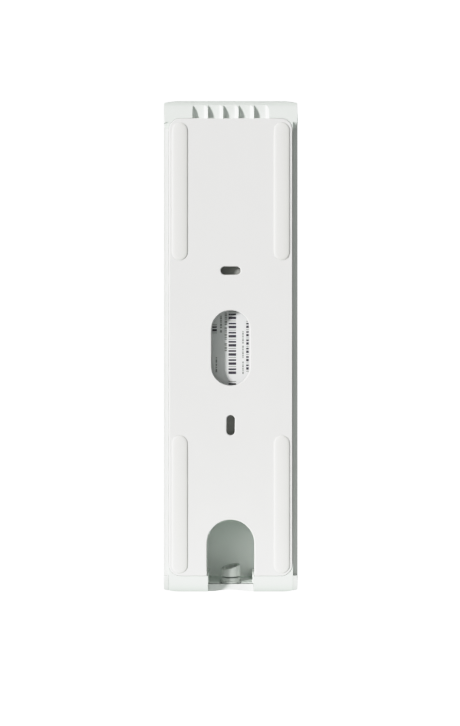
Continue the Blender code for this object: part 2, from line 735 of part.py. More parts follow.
def cable_fitting():
    """A flanged grommet at the mouth of the channel, and the cup-headed plug that blanks it off."""
    floor = BODY_END_WALL_FOOT + GAP
    bore = 0.0016
    underside = BODY_BOTTOM + NOTCH_DEPTH
    profile = [
        (bore, GROMMET_TOP), (GROMMET_RADIUS - 0.0003, GROMMET_TOP), (GROMMET_RADIUS, GROMMET_TOP - 0.0003),
        (GROMMET_RADIUS, floor + 0.0006), (GROMMET_FLANGE, floor + 0.0005), (GROMMET_FLANGE, floor),
        (GROMMET_NECK, floor), (GROMMET_NECK, underside), (bore, underside), (bore, GROMMET_TOP),
    ]
    turned("cable_grommet", profile, (0.0, GROMMET_Y, 0.0), GREY_RUBBER, forward=False)
    stem = bore - GAP
    profile = [
        (0.0, PLUG_FLOOR), (PLUG_RADIUS - 0.0011, PLUG_FLOOR + 0.0002), (PLUG_RADIUS - 0.0009, PLUG_TOP),
        (PLUG_RADIUS - 0.0001, PLUG_TOP), (PLUG_RADIUS, PLUG_FLOOR), (PLUG_RADIUS, PLUG_FOOT + 0.0002),
        (PLUG_RADIUS - 0.0002, PLUG_FOOT), (stem, PLUG_FOOT), (stem, underside + 0.0004),
        (0.0, underside + 0.0004),
    ]
    plug = turned("blanking_plug", profile, (0.0, GROMMET_Y, 0.0), GREY_RUBBER, forward=False)
    low, high = (-0.006, GROMMET_Y - 0.006, -0.003), (0.006, GROMMET_Y + 0.006, 0.003)
    slant = box("cut_plug_slant", low, high, None)
    slant.rotation_euler = (math.radians(-8), math.radians(11), 0.0)
    slant.location.z = (PLUG_TOP + PLUG_FLOOR) / 2 + 0.0032
    cut(plug, slant)


def terminals():
    """The supply terminals at the top of the cable bay, hidden behind the wall plate."""
    rear, front = -0.0090, BAY_FLOOR + GAP
    low, high = BAY_TOP - 0.0135, BAY_TOP - 0.0010
    block = box("terminal_block", (-0.0090, front, low), (0.0090, rear, high), TERMINAL_GREEN, edge=0.0004)
    middle = (low + high) / 2
    for side, hand in ((-1, "left"), (1, "right")):
        x = side * 0.0045
        well = rod("cut_terminal_well_" + hand, (x, rear, middle), 0.0027, 0.0060, "Y", None)
        cut(block, well)
        entry = box(
            "cut_wire_entry_" + hand,
            (x - 0.0016, -0.0185, low - 0.001),
            (x + 0.0016, -0.0145, low + 0.005),
            None,
        )
        cut(block, entry)
        screw = rod(
            "terminal_screw_" + hand, (x, rear - 0.0017, middle), 0.0024, 0.0018, "Y", STEEL, edge=0.0002
        )
        drive = box(
            "cut_terminal_slot_" + hand,
            (x - 0.0003, rear - 0.0014, middle - 0.003),
            (x + 0.0003, rear + 0.001, middle + 0.003),
            None,
        )
        cut(screw, drive)


def screw_set():
    """Four screws through the back into the cover's posts, and four that hold the main board."""
    for side, hand in ((-1, "left"), (1, "right")):
        for level, tag in zip(POST_Z, ("upper", "lower")):
            name = "housing_screw_{}_{}".format(tag, hand)
            seat = (side * POST_X, HOUSING_BACK + GAP, level)
            pan_screw(name, seat, head_radius=0.0022, head_height=0.0010, length=0.0085, to_front=True)
        for level, tag in zip(BOSS_Z, ("upper", "lower")):
            name = "board_screw_{}_{}".format(tag, hand)
            seat = (side * BOSS_X, BOARD_FRONT - GAP, level)
            pan_screw(name, seat, head_radius=0.0020, head_height=0.0008, length=0.0045, to_front=False)


def pan_screw(name, seat, head_radius, head_height, length, to_front):
    """A screw whose head's underside is at the seat. Its shank points to the front or to the rear."""
    shank = 0.0009
    profile = [
        (0.0, head_height), (head_radius * 0.8, head_height), (head_radius, head_height * 0.5),
        (head_radius, 0.0), (shank, 0.0), (shank, -length), (0.0, -length),
    ]
    screw = turned(name, profile, seat, STEEL, sides=SMALL_SIDES)
    if to_front:
        screw.rotation_euler = (-math.pi / 2, 0.0, 0.0)
    deep = head_height * 0.6
    outward = 1 if to_front else -1
    recess_low = seat[1] + outward * (head_height - deep)
    recess_high = seat[1] + outward * (head_height + 0.001)
    arm = head_radius * 0.55
    thin = head_radius * 0.14
    drive = box(
        "cut_drive_" + name,
        (seat[0] - arm, min(recess_low, recess_high), seat[2] - thin),
        (seat[0] + arm, max(recess_low, recess_high), seat[2] + thin),
        None,
    )
    cut(screw, drive)


def window_group():
    """The dark window with the camera, motion sensor and lamps behind it."""
    rear = BODY_FRONT + WINDOW_THICK
    outline = rounded_box(WINDOW_HALF - GAP, WINDOW_BOTTOM + GAP, WINDOW_TOP - GAP, 0.0060 - GAP, steps=6)
    window = slab("front_window", outline, rear, BODY_FRONT, BLACK_GLOSS)
    for name, level, radius in (("lens", LENS_Z, 0.0075), ("motion", MOTION_Z, 0.0066)):
        hole = rod("cut_window_" + name, (0, rear, level), radius, 0.004, "Y", None, sides=36)
        cut(window, hole)
    bezel = [
        (0.0054, 0.0), (0.0058, 0.0006), (0.0070, 0.0006), (0.0072, 0.0004), (0.0072, -0.0012),
        (0.0054, -0.0012), (0.0054, 0.0),
    ]
    turned("lens_bezel", bezel, (0.0, BODY_FRONT, LENS_Z), ALUMINIUM)
    barrel = [
        (0.0, -0.0024), (0.0036, -0.0024), (0.0040, -0.0002), (0.0050, -0.0002), (0.0050, -0.0052),
        (0.0, -0.0052),
    ]
    turned("lens_barrel", barrel, (0.0, BODY_FRONT, LENS_Z), BLACK_PLASTIC)
    glass = [(0.0, -0.0004)]
    for step in range(1, 6):
        angle = math.radians(9 * step)
        glass.append((0.0047 * math.sin(angle), -0.0051 + 0.0047 * math.cos(angle)))
    glass += [(0.0033, -0.0021), (0.0, -0.0021)]
    turned("front_lens", glass, (0.0, BODY_FRONT, LENS_Z), LENS_GLASS)
    sensor_front = BODY_FRONT + 0.0052 + GAP
    box("image_sensor", (-0.0040, sensor_front, LENS_Z - 0.0040),
        (0.0040, SENSOR_BOARD_REAR - 0.0010 - GAP, LENS_Z + 0.0040), CHIP_BLACK)
    box("sensor_board", (-0.0160, SENSOR_BOARD_REAR - 0.0010, 0.0345), (0.0160, SENSOR_BOARD_REAR, 0.0840),
        BOARD_GREEN)
    board_face = SENSOR_BOARD_REAR - 0.0010 - GAP
    for side, hand in ((-1, "left"), (1, "right")):
        tip = rear + GAP
        dome = [(0.0, 0.0)]
        for step in range(1, 4):
            angle = math.radians(30 * step)
            dome.append((0.0015 * math.sin(angle), -0.0015 + 0.0015 * math.cos(angle)))
        dome += [(0.0015, tip - board_face), (0.0, tip - board_face)]
        turned("infrared_led_" + hand, dome, (side * 0.0125, tip, LENS_Z), LENS_GLASS, sides=SMALL_SIDES)
    box("light_sensor", (-0.0015, rear + GAP + 0.0020, 0.0790), (0.0015, board_face, 0.0815), CHIP_BLACK)
    motion_lens = [(0.0, 0.0006)]
    for step in range(1, 7):
        radius = 0.0063 * step / 6
        motion_lens.append((radius, 0.0006 - 0.0014 * (radius / 0.0063) ** 2))
    motion_lens += [(0.0063, -0.0014), (0.0, -0.0014)]
    turned("motion_lens", motion_lens, (0.0, BODY_FRONT, MOTION_Z), MOTION_LENS)
    can_front = BODY_FRONT + 0.0026
    can_base = can_front - board_face
    motion_sensor = [
        (0.0, 0.0), (0.0040, 0.0), (0.0042, -0.0002), (0.0042, can_base + 0.0005),
        (0.0046, can_base + 0.0005), (0.0046, can_base), (0.0, can_base),
    ]
    turned("motion_sensor", motion_sensor, (0.0, can_front, MOTION_Z), TIN)


def button_group():
    """The button cap with its flange and pusher, the light ring round it, and the switch behind it."""
    flange_rear = 0.0041
    pusher = -BODY_FRONT - 0.01885
    profile = [
        (0.0, 0.0004), (0.0060, 0.0005), (0.0100, 0.0006), (0.0130, 0.0006), (BUTTON_RADIUS, 0.0),
        (BUTTON_RADIUS, -0.0033), (0.0153, -0.0033), (0.0153, -flange_rear), (0.0030, -flange_rear),
        (0.0030, -pusher), (0.0, -pusher),
    ]
    turned("button_cap", profile, (0.0, BODY_FRONT, BUTTON_Z), BUTTON_WHITE, sides=40)
    ring = [
        (0.0145, 0.0), (0.0159, 0.0), (0.0162, -0.0003), (0.0162, -0.0023), (0.0180, -0.0023),
        (0.0180, -0.0030), (0.0145, -0.0030), (0.0145, 0.0),
    ]
    turned("button_light_ring", ring, (0.0, BODY_FRONT, BUTTON_Z), LIGHT_GUIDE, sides=40)
    switch_rear = BOARD_FRONT - GAP
    stem_front = BODY_FRONT + pusher + BUTTON_TRAVEL + 0.00005
    switch = box("tactile_switch", (-0.0030, switch_rear - 0.0011, BUTTON_Z - 0.0030),
                 (0.0030, switch_rear, BUTTON_Z + 0.0030), CHIP_BLACK)
    stem_length = switch_rear - stem_front
    stem = rod("join_switch_stem", (0, (switch_rear - 0.0005 + stem_front) / 2, BUTTON_Z), 0.0015,
               stem_length - 0.0005, "Y", None)
    join(switch, stem)


def board_group():
    """The main board with what it carries, and the speaker and microphone."""
    rear = BOARD_FRONT + BOARD_THICK
    board = box("main_board", (-0.0165, BOARD_FRONT, -0.0480), (0.0165, rear, 0.0760), BOARD_GREEN)
    for side in (-1, 1):
        for level in BOSS_Z:
            hole = rod("cut_board_hole_{}_{:.0f}".format(side, level * 1000), (side * BOSS_X, rear, level),
                       0.0012, 0.004, "Y", None, sides=12)
            cut(board, hole)
    face = BOARD_FRONT - GAP
    box("shield_can", (-0.0110, face - 0.0020, 0.0020), (0.0110, face, 0.0300), TIN, edge=0.0003)
    box("heat_spreader", (-0.0150, -0.0105, 0.0040), (0.0150, -0.0095, 0.0620), ALUMINIUM, edge=0.0002)
    box("thermal_pad", (-0.0090, rear + GAP, 0.0080), (0.0090, -0.0105 - GAP, 0.0260), GREY_RUBBER)
    front = SENSOR_BOARD_REAR + GAP
    box("board_connector", (-0.0060, front, 0.0500), (0.0060, face, 0.0535), BLACK_PLASTIC)
    box("wifi_antenna", (-0.0150, -0.0182, 0.0870), (0.0150, -0.0178, 0.0915), GOLD_FLEX)
    mesh_front = BODY_FRONT + COVER_WALL + GAP
    rod("speaker_mesh", (0, mesh_front + 0.00015, SPEAKER_Z), 0.0110, 0.0003, "Y", STEEL, sides=24)
    speaker = [
        (0.0, -0.0010), (0.0030, -0.0010), (0.0100, 0.0), (0.0120, 0.0), (0.0120, -0.0012),
        (0.0080, -0.0030), (0.0080, -0.0050), (0.0, -0.0050),
    ]
    turned("speaker", speaker, (0.0, mesh_front + 0.0003 + GAP, SPEAKER_Z), BLACK_PLASTIC, sides=28)
    box("microphone", (-0.0020, mesh_front, MICROPHONE_Z - 0.0013),
        (0.0020, mesh_front + 0.0012, MICROPHONE_Z + 0.0013), TIN)


def power_group():
    """The power board and backup cell on either side of the cable bay."""
    side = BAY_HALF + BAY_WALL + 0.0006
    box("power_board", (side, -0.0180, -0.0860), (0.0226, -0.0168, -0.0520), BOARD_GREEN)
    rod("power_choke", (0.0182, -0.0205, -0.0620), 0.0038, 0.0044, "Y", CHIP_BLACK, sides=20, edge=0.0004)
    rod("backup_cell", (-0.0185, -0.0175, -0.0690), 0.0042, 0.0340, "Z", CELL_SLEEVE, sides=24, edge=0.0004)


# Assembly ------------------------------------------------------------------------------------------


def carry(made, pivot):
    """Parents a piece, and what cuts it, to a pivot without moving it."""
    made.parent = pivot
    made.matrix_parent_inverse = pivot.matrix_world.inverted()
    for step in made.modifiers:
        if step.type == "BOOLEAN" and step.object.parent is None:
            step.object.parent = pivot
            step.object.matrix_parent_inverse = pivot.matrix_world.inverted()


def pivots():
    """The unit hangs from an empty on the tilt axis, and the button cap from one on its own axis."""
    unit_pivot = bpy.data.objects.new("unit_pivot", None)
    unit_pivot.location = PIVOT
    button_pivot = bpy.data.objects.new("button_pivot", None)
    button_pivot.location = (0.0, BODY_FRONT, BUTTON_Z)
    for empty in (unit_pivot, button_pivot):
        empty.empty_display_size = 0.01
        parts.objects.link(empty)
    bpy.context.view_layer.update()
    for made in list(parts.objects):
        if made.type != "MESH" or made.name == "wall_plate" or made.name.startswith("pad_"):
            continue
        carry(made, button_pivot if made.name == "button_cap" else unit_pivot)
    button_pivot.parent = unit_pivot
    button_pivot.matrix_parent_inverse = unit_pivot.matrix_world.inverted()


wall_plate()
pads()
rear_housing()
rating_label()
housing_seal()
front_cover()
cable_fitting()
terminals()
screw_set()
window_group()
button_group()
board_group()
power_group()
pivots()
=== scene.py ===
"""Looks for the video doorbell: the wall plate and its unit, seen from the wall side."""
import json
import math

import bmesh
import bpy
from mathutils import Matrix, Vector


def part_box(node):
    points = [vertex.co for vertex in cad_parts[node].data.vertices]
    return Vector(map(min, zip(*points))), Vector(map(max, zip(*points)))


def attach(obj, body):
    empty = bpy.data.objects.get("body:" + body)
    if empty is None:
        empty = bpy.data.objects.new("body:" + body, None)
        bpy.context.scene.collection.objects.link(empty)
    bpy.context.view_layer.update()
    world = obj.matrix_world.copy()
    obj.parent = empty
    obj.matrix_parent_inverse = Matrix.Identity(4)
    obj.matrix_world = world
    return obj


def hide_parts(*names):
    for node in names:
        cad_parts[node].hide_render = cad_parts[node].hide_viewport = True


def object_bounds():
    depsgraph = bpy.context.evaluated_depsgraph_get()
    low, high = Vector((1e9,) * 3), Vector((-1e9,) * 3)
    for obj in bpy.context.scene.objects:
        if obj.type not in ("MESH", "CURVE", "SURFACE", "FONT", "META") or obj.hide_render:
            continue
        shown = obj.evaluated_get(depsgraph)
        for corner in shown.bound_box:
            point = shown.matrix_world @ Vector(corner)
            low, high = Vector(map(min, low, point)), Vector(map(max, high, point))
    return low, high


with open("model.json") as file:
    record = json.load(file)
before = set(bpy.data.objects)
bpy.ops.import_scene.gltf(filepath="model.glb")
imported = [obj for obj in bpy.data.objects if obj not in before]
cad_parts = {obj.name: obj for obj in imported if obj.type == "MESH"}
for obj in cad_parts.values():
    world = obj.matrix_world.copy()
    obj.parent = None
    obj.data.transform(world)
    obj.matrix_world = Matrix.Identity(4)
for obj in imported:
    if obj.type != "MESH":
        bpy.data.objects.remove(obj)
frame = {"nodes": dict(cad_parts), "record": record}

cad_low, cad_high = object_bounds()

# Sizes, in metres ----------------------------------------------------------------------------------

PLATE_LOW, PLATE_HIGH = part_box("wall_plate")
COVER_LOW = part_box("front_cover")[0]
HOUSING_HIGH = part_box("rear_housing")[1]
LABEL_LOW, LABEL_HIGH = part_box("rating_label")
GROMMET_LOW, GROMMET_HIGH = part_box("cable_grommet")
PLUG_LOW, PLUG_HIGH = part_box("blanking_plug")
CAP_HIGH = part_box("button_cap")[1]
RING_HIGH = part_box("button_light_ring")[1]
WINDOW_LOW, WINDOW_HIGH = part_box("front_window")
LENS_LOW, LENS_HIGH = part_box("front_lens")
MOTION_LOW, MOTION_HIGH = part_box("motion_lens")
PAD_NODES = ("pad_upper_left", "pad_upper_right", "pad_lower_left", "pad_lower_right")

GAP = 0.0003            # between the CAD's pieces
SEAM = 0.00006          # a closed seam, as it shows
OVER = 0.001            # how far a cutter runs past the face it enters
OUTSIDE = 0.030         # beyond the sides of the unit
PAST_WALL = 0.002       # behind the plane of the wall
BODY_HALF = HOUSING_HIGH.x
BODY_TOP = HOUSING_HIGH.z
BODY_FOOT = COVER_LOW.z
CAP_REAR = HOUSING_HIGH.y
COVER_FRONT = COVER_LOW.y
CROWN_START = 0.0180
CROWN_DROP = 0.0014
CORNER = 0.0008
FRONT_ROUND = 0.0034
REAR_ROUND = 0.0005

PLATE_HALF = PLATE_HIGH.x
PLATE_REAR = PLATE_HIGH.y
PLATE_TOP = 0.0891
PLATE_FOOT = PLATE_LOW.z
PLATE_RADIUS = 0.0045
PLATE_RIM = 0.0004
SKIRT_FRONT = -0.0052
FLOOR_FRONT = PLATE_REAR - 0.0020
SKIRT = 0.0012
SLOT_Z = 0.0300
SLOT_LENGTH = 0.0078
SLOT_WIDTH = 0.0032
SEAT_MARGIN = 0.0030
SEAT_HEIGHT = 0.0004
HOLE_LENGTH = 0.0292
HOLE_WIDTH = 0.0150
ARCH_HALF = 0.0092
ARCH_TOP = -0.0667
HOLE_ROUND = 0.00035
ARCH_ROUND = 0.00045
RECESS_DEPTH = 0.0005
HOOK_X = 0.0175
HOOK_WIDTH = 0.0050
HOOK_FRONT = -0.0050
HOOK_REAR = -0.0039
HOOK_ROOT = 0.0010
POCKET_ROOM = 0.0004
CATCH_Z = -0.0780
CATCH_REACH = 0.0010

HOUSING_HALF = 0.0240
HOUSING_BACK = -0.0057
HOUSING_FRONT = -0.0120
HOUSING_WALL = 0.0016
END_WALL = 0.0029
CAP_EDGE = 0.0886
SIDE_STEP_FOOT = -0.0838
SIDE_STEP_TOP = 0.0844
FLUTES = 5
FLUTE_PITCH = 0.00597
FLUTE_RADIUS = 0.00295
FLUTE_DEPTH = 0.0021

BAY_HALF = 0.0120
BAY_TOP = -0.0520
BAY_FOOT = -0.0882
BAY_FLOOR = -0.0205
BAY_WALL = 0.0014
CHANNEL_HALF = 0.0086
MOUTH_HALF = 0.0089
CHANNEL_SILL = -0.0913
CHANNEL_MOUTH = -0.0089
LIP_REAR = -0.0086
SILL_FALL = 0.0010
GROMMET_SEAT = 0.0042
LEAD_HOLE = 0.00325
PLUG_HEAD = -0.0900
CUP_FLOOR = -0.0878
CUP_TOP = -0.0849
FITTING_ROUND = 0.00012
NOTCH_HALF = 0.0082
NOTCH_DEPTH = 0.0006
SEAL_STEP = -0.0135
COVER_WALL = 0.0020
COVER_INNER_HALF = 0.0234
MARGIN_REAR = -0.0030
MARGIN_DROP = -0.0001
MARGIN_FOOT = -0.0884
SHOULDER_FALL = 0.0024
POST_X = 0.0196
POST_Z = (0.0800, -0.0450)
POST_RADIUS = 0.0024
SCREW_HOLE = 0.0013
BOSS_X = 0.0130
BOSS_Z = (0.0700, -0.0420)
DOME_FALL = 0.0014
GROOVE = 0.00007

# Camera, light and floor ---------------------------------------------------------------------------

VIEW_HEIGHT = 0.2815428  # seen from top to foot at the plate
CAMERA_DISTANCE = 0.6


def make_camera():
    """A long lens square to the back, a little below the object's middle."""
    data = bpy.data.cameras.new("camera")
    data.sensor_width = 36.0
    data.lens = CAMERA_DISTANCE * data.sensor_width / VIEW_HEIGHT
    data.clip_start = 0.05
    data.clip_end = 20.0
    camera = bpy.data.objects.new("camera", data)
    camera.location = (0.00028, CAMERA_DISTANCE + PLATE_REAR, -0.00587)
    camera.rotation_euler = (math.pi / 2, 0.0, math.pi)
    bpy.context.scene.collection.objects.link(camera)
    bpy.context.scene.camera = camera


def make_world():
    """White to the eye, and a softer, slightly green light on the object."""
    world = bpy.data.worlds.new("studio")
    bpy.context.scene.world = world
    world.use_nodes = True
    nodes, links = world.node_tree.nodes, world.node_tree.links
    nodes.clear()
    output = nodes.new("ShaderNodeOutputWorld")
    mix = nodes.new("ShaderNodeMixShader")
    path = nodes.new("ShaderNodeLightPath")
    seen = nodes.new("ShaderNodeBackground")
    seen.inputs["Color"].default_value = (1.0, 1.0, 1.0, 1.0)
    seen.inputs["Strength"].default_value = 2.0
    lit = nodes.new("ShaderNodeBackground")
    lit.inputs["Color"].default_value = (0.94, 1.0, 0.95, 1.0)
    lit.inputs["Strength"].default_value = 0.26
    links.new(path.outputs["Is Camera Ray"], mix.inputs["Fac"])
    links.new(lit.outputs["Background"], mix.inputs[1])
    links.new(seen.outputs["Background"], mix.inputs[2])
    links.new(mix.outputs["Shader"], output.inputs["Surface"])


def make_lights():
    """A key light from the left of the back, a weak one from above, and one for the front."""
    for name, towards, energy, angle, colour in (
        ("key", Vector((0.76, 0.63, 0.10)), 3.5, 9.0, (1.0, 0.98, 0.985)),
        ("top_fill", Vector((0.05, 0.20, 0.98)), 0.45, 40.0, (1.0, 1.0, 1.0)),
        ("front_fill", Vector((-0.45, -0.75, 0.50)), 2.6, 25.0, (1.0, 1.0, 1.0)),
    ):
        light = bpy.data.lights.new(name, "SUN")
        light.energy = energy
        light.angle = math.radians(angle)
        light.color = colour
        lamp = bpy.data.objects.new(name, light)
        lamp.rotation_euler = towards.to_track_quat("Z", "Y").to_euler()
        bpy.context.scene.collection.objects.link(lamp)


def soften_highlights():
    """The standard view, with its brightest tones rolled off so that lit edges keep their shape."""
    view = bpy.context.scene.view_settings
    view.view_transform = "Standard"
    view.use_curve_mapping = True
    brightest = 1.8
    view.curve_mapping.white_level = (brightest, brightest, brightest)
    curve = view.curve_mapping.curves[3]
    curve.points[0].handle_type = "VECTOR"
    for level, shown in ((0.66, 0.66), (0.80, 0.78), (0.92, 0.855), (1.10, 0.92), (1.35, 0.965)):
        point = curve.points.new(level / brightest, shown)
        point.handle_type = "VECTOR"
    view.curve_mapping.update()


def make_floor():
    """A white floor just under the object's foot. The light it throws is strongest close by."""
    shape = bmesh.new()
    bmesh.ops.create_circle(shape, cap_ends=True, segments=96, radius=0.7)
    mesh = bpy.data.meshes.new("floor")
    shape.to_mesh(mesh)
    shape.free()
    floor = bpy.data.objects.new("floor", mesh)
    floor.location.z = cad_low.z - 0.0005
    bpy.context.scene.collection.objects.link(floor)
    finish = bpy.data.materials.new("floor_white")
    finish.use_nodes = True
    nodes, links = finish.node_tree.nodes, finish.node_tree.links
    nodes.clear()
    output = nodes.new("ShaderNodeOutputMaterial")
    mix = nodes.new("ShaderNodeMixShader")
    path = nodes.new("ShaderNodeLightPath")
    seen = nodes.new("ShaderNodeEmission")
    seen.inputs["Strength"].default_value = 2.0
    thrown = nodes.new("ShaderNodeEmission")
    thrown.inputs["Color"].default_value = (0.95, 1.0, 0.96, 1.0)
    place = nodes.new("ShaderNodeTexCoord")
    reach = nodes.new("ShaderNodeVectorMath")
    reach.operation = "LENGTH"
    fade = nodes.new("ShaderNodeMapRange")
    fade.interpolation_type = "SMOOTHSTEP"
    fade.inputs["From Min"].default_value = 0.01
    fade.inputs["From Max"].default_value = 0.14
    fade.inputs["To Min"].default_value = 0.75
    fade.inputs["To Max"].default_value = 0.42
    links.new(place.outputs["Object"], reach.inputs[0])
    links.new(reach.outputs["Value"], fade.inputs["Value"])
    links.new(fade.outputs["Result"], thrown.inputs["Strength"])
    links.new(path.outputs["Is Camera Ray"], mix.inputs["Fac"])
    links.new(thrown.outputs["Emission"], mix.inputs[1])
    links.new(seen.outputs["Emission"], mix.inputs[2])
    links.new(mix.outputs["Shader"], output.inputs["Surface"])
    mesh.materials.append(finish)


# Materials -----------------------------------------------------------------------------------------


def moulded(
    name, colour, roughness, grain=9000.0, grain_depth=0.00001, mottle=0.015, specular=0.5,
    metallic=0.0, coat=0.0,
):
    """A moulded or machined finish: fine grain in relief, and faint uneven tone and gloss."""
    made = bpy.data.materials.new(name)
    made.use_nodes = True
    nodes, links = made.node_tree.nodes, made.node_tree.links
    shader = nodes["Principled BSDF"]
    shader.inputs["Metallic"].default_value = metallic
    shader.inputs["Specular IOR Level"].default_value = specular
    shader.inputs["Coat Weight"].default_value = coat
    place = nodes.new("ShaderNodeTexCoord")
    cloud = nodes.new("ShaderNodeTexNoise")
    cloud.inputs["Scale"].default_value = 70.0
    cloud.inputs["Detail"].default_value = 4.0
    links.new(place.outputs["Object"], cloud.inputs["Vector"])
    tone = nodes.new("ShaderNodeMapRange")
    tone.inputs["To Min"].default_value = 1.0 - mottle
    tone.inputs["To Max"].default_value = 1.0 + mottle
    links.new(cloud.outputs["Fac"], tone.inputs["Value"])
    tint = nodes.new("ShaderNodeMix")
    tint.data_type = "RGBA"
    tint.blend_type = "MULTIPLY"
    tint.inputs["Factor"].default_value = 1.0
    tint.inputs["A"].default_value = (*colour, 1.0)
    links.new(tone.outputs["Result"], tint.inputs["B"])
    links.new(tint.outputs["Result"], shader.inputs["Base Color"])
    fine = nodes.new("ShaderNodeTexNoise")
    fine.inputs["Scale"].default_value = grain
    fine.inputs["Detail"].default_value = 3.0
    links.new(place.outputs["Object"], fine.inputs["Vector"])
    gloss = nodes.new("ShaderNodeMapRange")
    gloss.inputs["To Min"].default_value = max(0.02, roughness - 0.05)
    gloss.inputs["To Max"].default_value = min(1.0, roughness + 0.05)
    links.new(cloud.outputs["Fac"], gloss.inputs["Value"])
    links.new(gloss.outputs["Result"], shader.inputs["Roughness"])
    if grain_depth:
        relief = nodes.new("ShaderNodeBump")
        relief.inputs["Strength"].default_value = 0.5
        relief.inputs["Distance"].default_value = grain_depth
        links.new(fine.outputs["Fac"], relief.inputs["Height"])
        links.new(relief.outputs["Normal"], shader.inputs["Normal"])
    return made


FINISHES = {
    "white_plate": moulded("white_plate", (0.81, 0.805, 0.80), 0.50),
    "white_shell": moulded("white_shell", (0.805, 0.84, 0.81), 0.46),
    "white_cover": moulded("white_cover", (0.76, 0.775, 0.76), 0.46),
    # Painted shade: a dark grey for the housing's white back face behind the plate, darkening the dim
    # room that shows through the slots.
    "shell_back_painted_shade": moulded("shell_back_painted_shade", (0.40, 0.41, 0.385), 0.55),
    "pad_foam": moulded(
        "pad_foam", (0.79, 0.785, 0.77), 0.60, grain=3000.0, grain_depth=0.00003, mottle=0.02
    ),
    "label_film": moulded(
        "label_film", (0.79, 0.80, 0.80), 0.38, grain=14000.0, mottle=0.03, specular=0.6
    ),
    "label_ink": moulded("label_ink", (0.045, 0.04, 0.055), 0.5, mottle=0.1),
    "label_grey_ink": moulded("label_grey_ink", (0.30, 0.31, 0.30), 0.5, mottle=0.1),
    "grey_rubber": moulded(
        "grey_rubber", (0.58, 0.61, 0.58), 0.65, grain=5000.0, grain_depth=0.00002
    ),
    "dark_rubber": moulded(
        "dark_rubber", (0.035, 0.035, 0.035), 0.70, grain=5000.0, grain_depth=0.00002
    ),
    "black_gloss": moulded("black_gloss", (0.008, 0.008, 0.010), 0.07, grain_depth=0.0, coat=0.6),
    "black_plastic": moulded("black_plastic", (0.018, 0.018, 0.018), 0.42),
    "lens_glass": moulded(
        "lens_glass", (0.012, 0.016, 0.035), 0.03, grain_depth=0.0, coat=1.0, specular=0.8
    ),
    "light_guide": moulded("light_guide", (0.72, 0.80, 0.84), 0.22, grain=4000.0),
    "motion_lens": moulded(
        "motion_lens", (0.80, 0.80, 0.78), 0.32, grain=2500.0, grain_depth=0.00004
    ),
    "button_white": moulded("button_white", (0.83, 0.83, 0.82), 0.28, grain_depth=0.000004),
    "board_green": moulded(
        "board_green", (0.02, 0.13, 0.06), 0.42, grain=2600.0, grain_depth=0.00003, mottle=0.2
    ),
    "chip_black": moulded("chip_black", (0.025, 0.025, 0.027), 0.55),
    "tin": moulded("tin", (0.62, 0.62, 0.60), 0.34, metallic=1.0, mottle=0.06),
    "aluminium": moulded("aluminium", (0.74, 0.75, 0.76), 0.30, metallic=1.0, mottle=0.04),
    "steel": moulded("steel", (0.56, 0.56, 0.57), 0.32, metallic=1.0, mottle=0.06),
    "gold_flex": moulded("gold_flex", (0.55, 0.36, 0.10), 0.40, mottle=0.08),
    "terminal_green": moulded("terminal_green", (0.06, 0.30, 0.13), 0.42),
    "cell_sleeve": moulded("cell_sleeve", (0.07, 0.12, 0.30), 0.33, mottle=0.05),
}

# Outlines, as lists of points ----------------------------------------------------------------------


def arc(centre_a, centre_b, radius, start, end, steps):
    """Points of an arc, with angles in degrees."""
    points = []
    for step in range(steps + 1):
        angle = math.radians(start + (end - start) * step / steps)
        points.append((centre_a + radius * math.cos(angle), centre_b + radius * math.sin(angle)))
    return points


def rounded_box(half, low, high, radius, steps=16):
    """Outline of a box with round corners, centred on x = 0."""
    side = half - radius
    points = arc(side, high - radius, radius, 0, 90, steps)
    points += arc(-side, high - radius, radius, 90, 180, steps)
    points += arc(-side, low + radius, radius, 180, 270, steps)
    points += arc(side, low + radius, radius, 270, 360, steps)
    return points


def circle(centre_a, centre_b, radius, steps):
    """Points of a full circle."""
    return arc(centre_a, centre_b, radius, 0, 360, steps)[:-1]


def middle(node):
    """Centre of a CAD node's box."""
    low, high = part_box(node)
    return (low + high) / 2


def capsule(centre_x, centre_z, length, width, upright=True, steps=28):
    """Outline of a strip with full round ends."""
    radius = width / 2
    reach = length / 2 - radius
    if upright:
        points = arc(centre_x, centre_z + reach, radius, 0, 180, steps)
        points += arc(centre_x, centre_z - reach, radius, 180, 360, steps)
    else:
        points = arc(centre_x + reach, centre_z, radius, -90, 90, steps)
        points += arc(centre_x - reach, centre_z, radius, 90, 270, steps)
    return points


def grown_capsule(centre_x, centre_z, length, width, upright=True, steps=28):
    """A strip's outline as flared wants it: a function of how much it is grown."""
    return lambda grow: capsule(
        centre_x, centre_z, length + 2 * grow, width + 2 * grow, upright, steps)


def plate_outline(inset):
    """Outline of the plate, drawn in by inset."""
    return rounded_box(
        PLATE_HALF - inset, PLATE_FOOT + inset, PLATE_TOP - inset, PLATE_RADIUS - inset)


def crown_fall(x):
    """How far an end of the unit has fallen away at x."""
    past = max(0.0, abs(x) - CROWN_START) / (BODY_HALF - CROWN_START)
    return CROWN_DROP * past ** 2


def crowned_end(half, level, up, steps=24):
    """One end of the unit's outline, from right to left. It falls away to tight round corners."""
    turn = half - CORNER
    right = arc(turn, level - up * (crown_fall(turn) + CORNER), CORNER, 0, up * 90, 8)
    for step in range(1, steps + 1):
        x = turn + (CROWN_START - turn) * step / steps
        right.append((x, level - up * crown_fall(x)))
    return right + [(-x, z) for x, z in reversed(right)]


def shoulder(inner, drop, steps=8):
    """Lower edge of the top cap on the right, from its inner to its outer end."""
    points = []
    for step in range(steps + 1):
        x = inner + (BODY_HALF - inner) * step / steps
        points.append((x, CAP_EDGE - crown_fall(x) - drop))
    return points


def unit_plan():
    """Outline of the unit, seen square on."""
    foot = list(reversed(crowned_end(BODY_HALF, BODY_FOOT, -1)))
    return foot + crowned_end(BODY_HALF, BODY_TOP, 1)


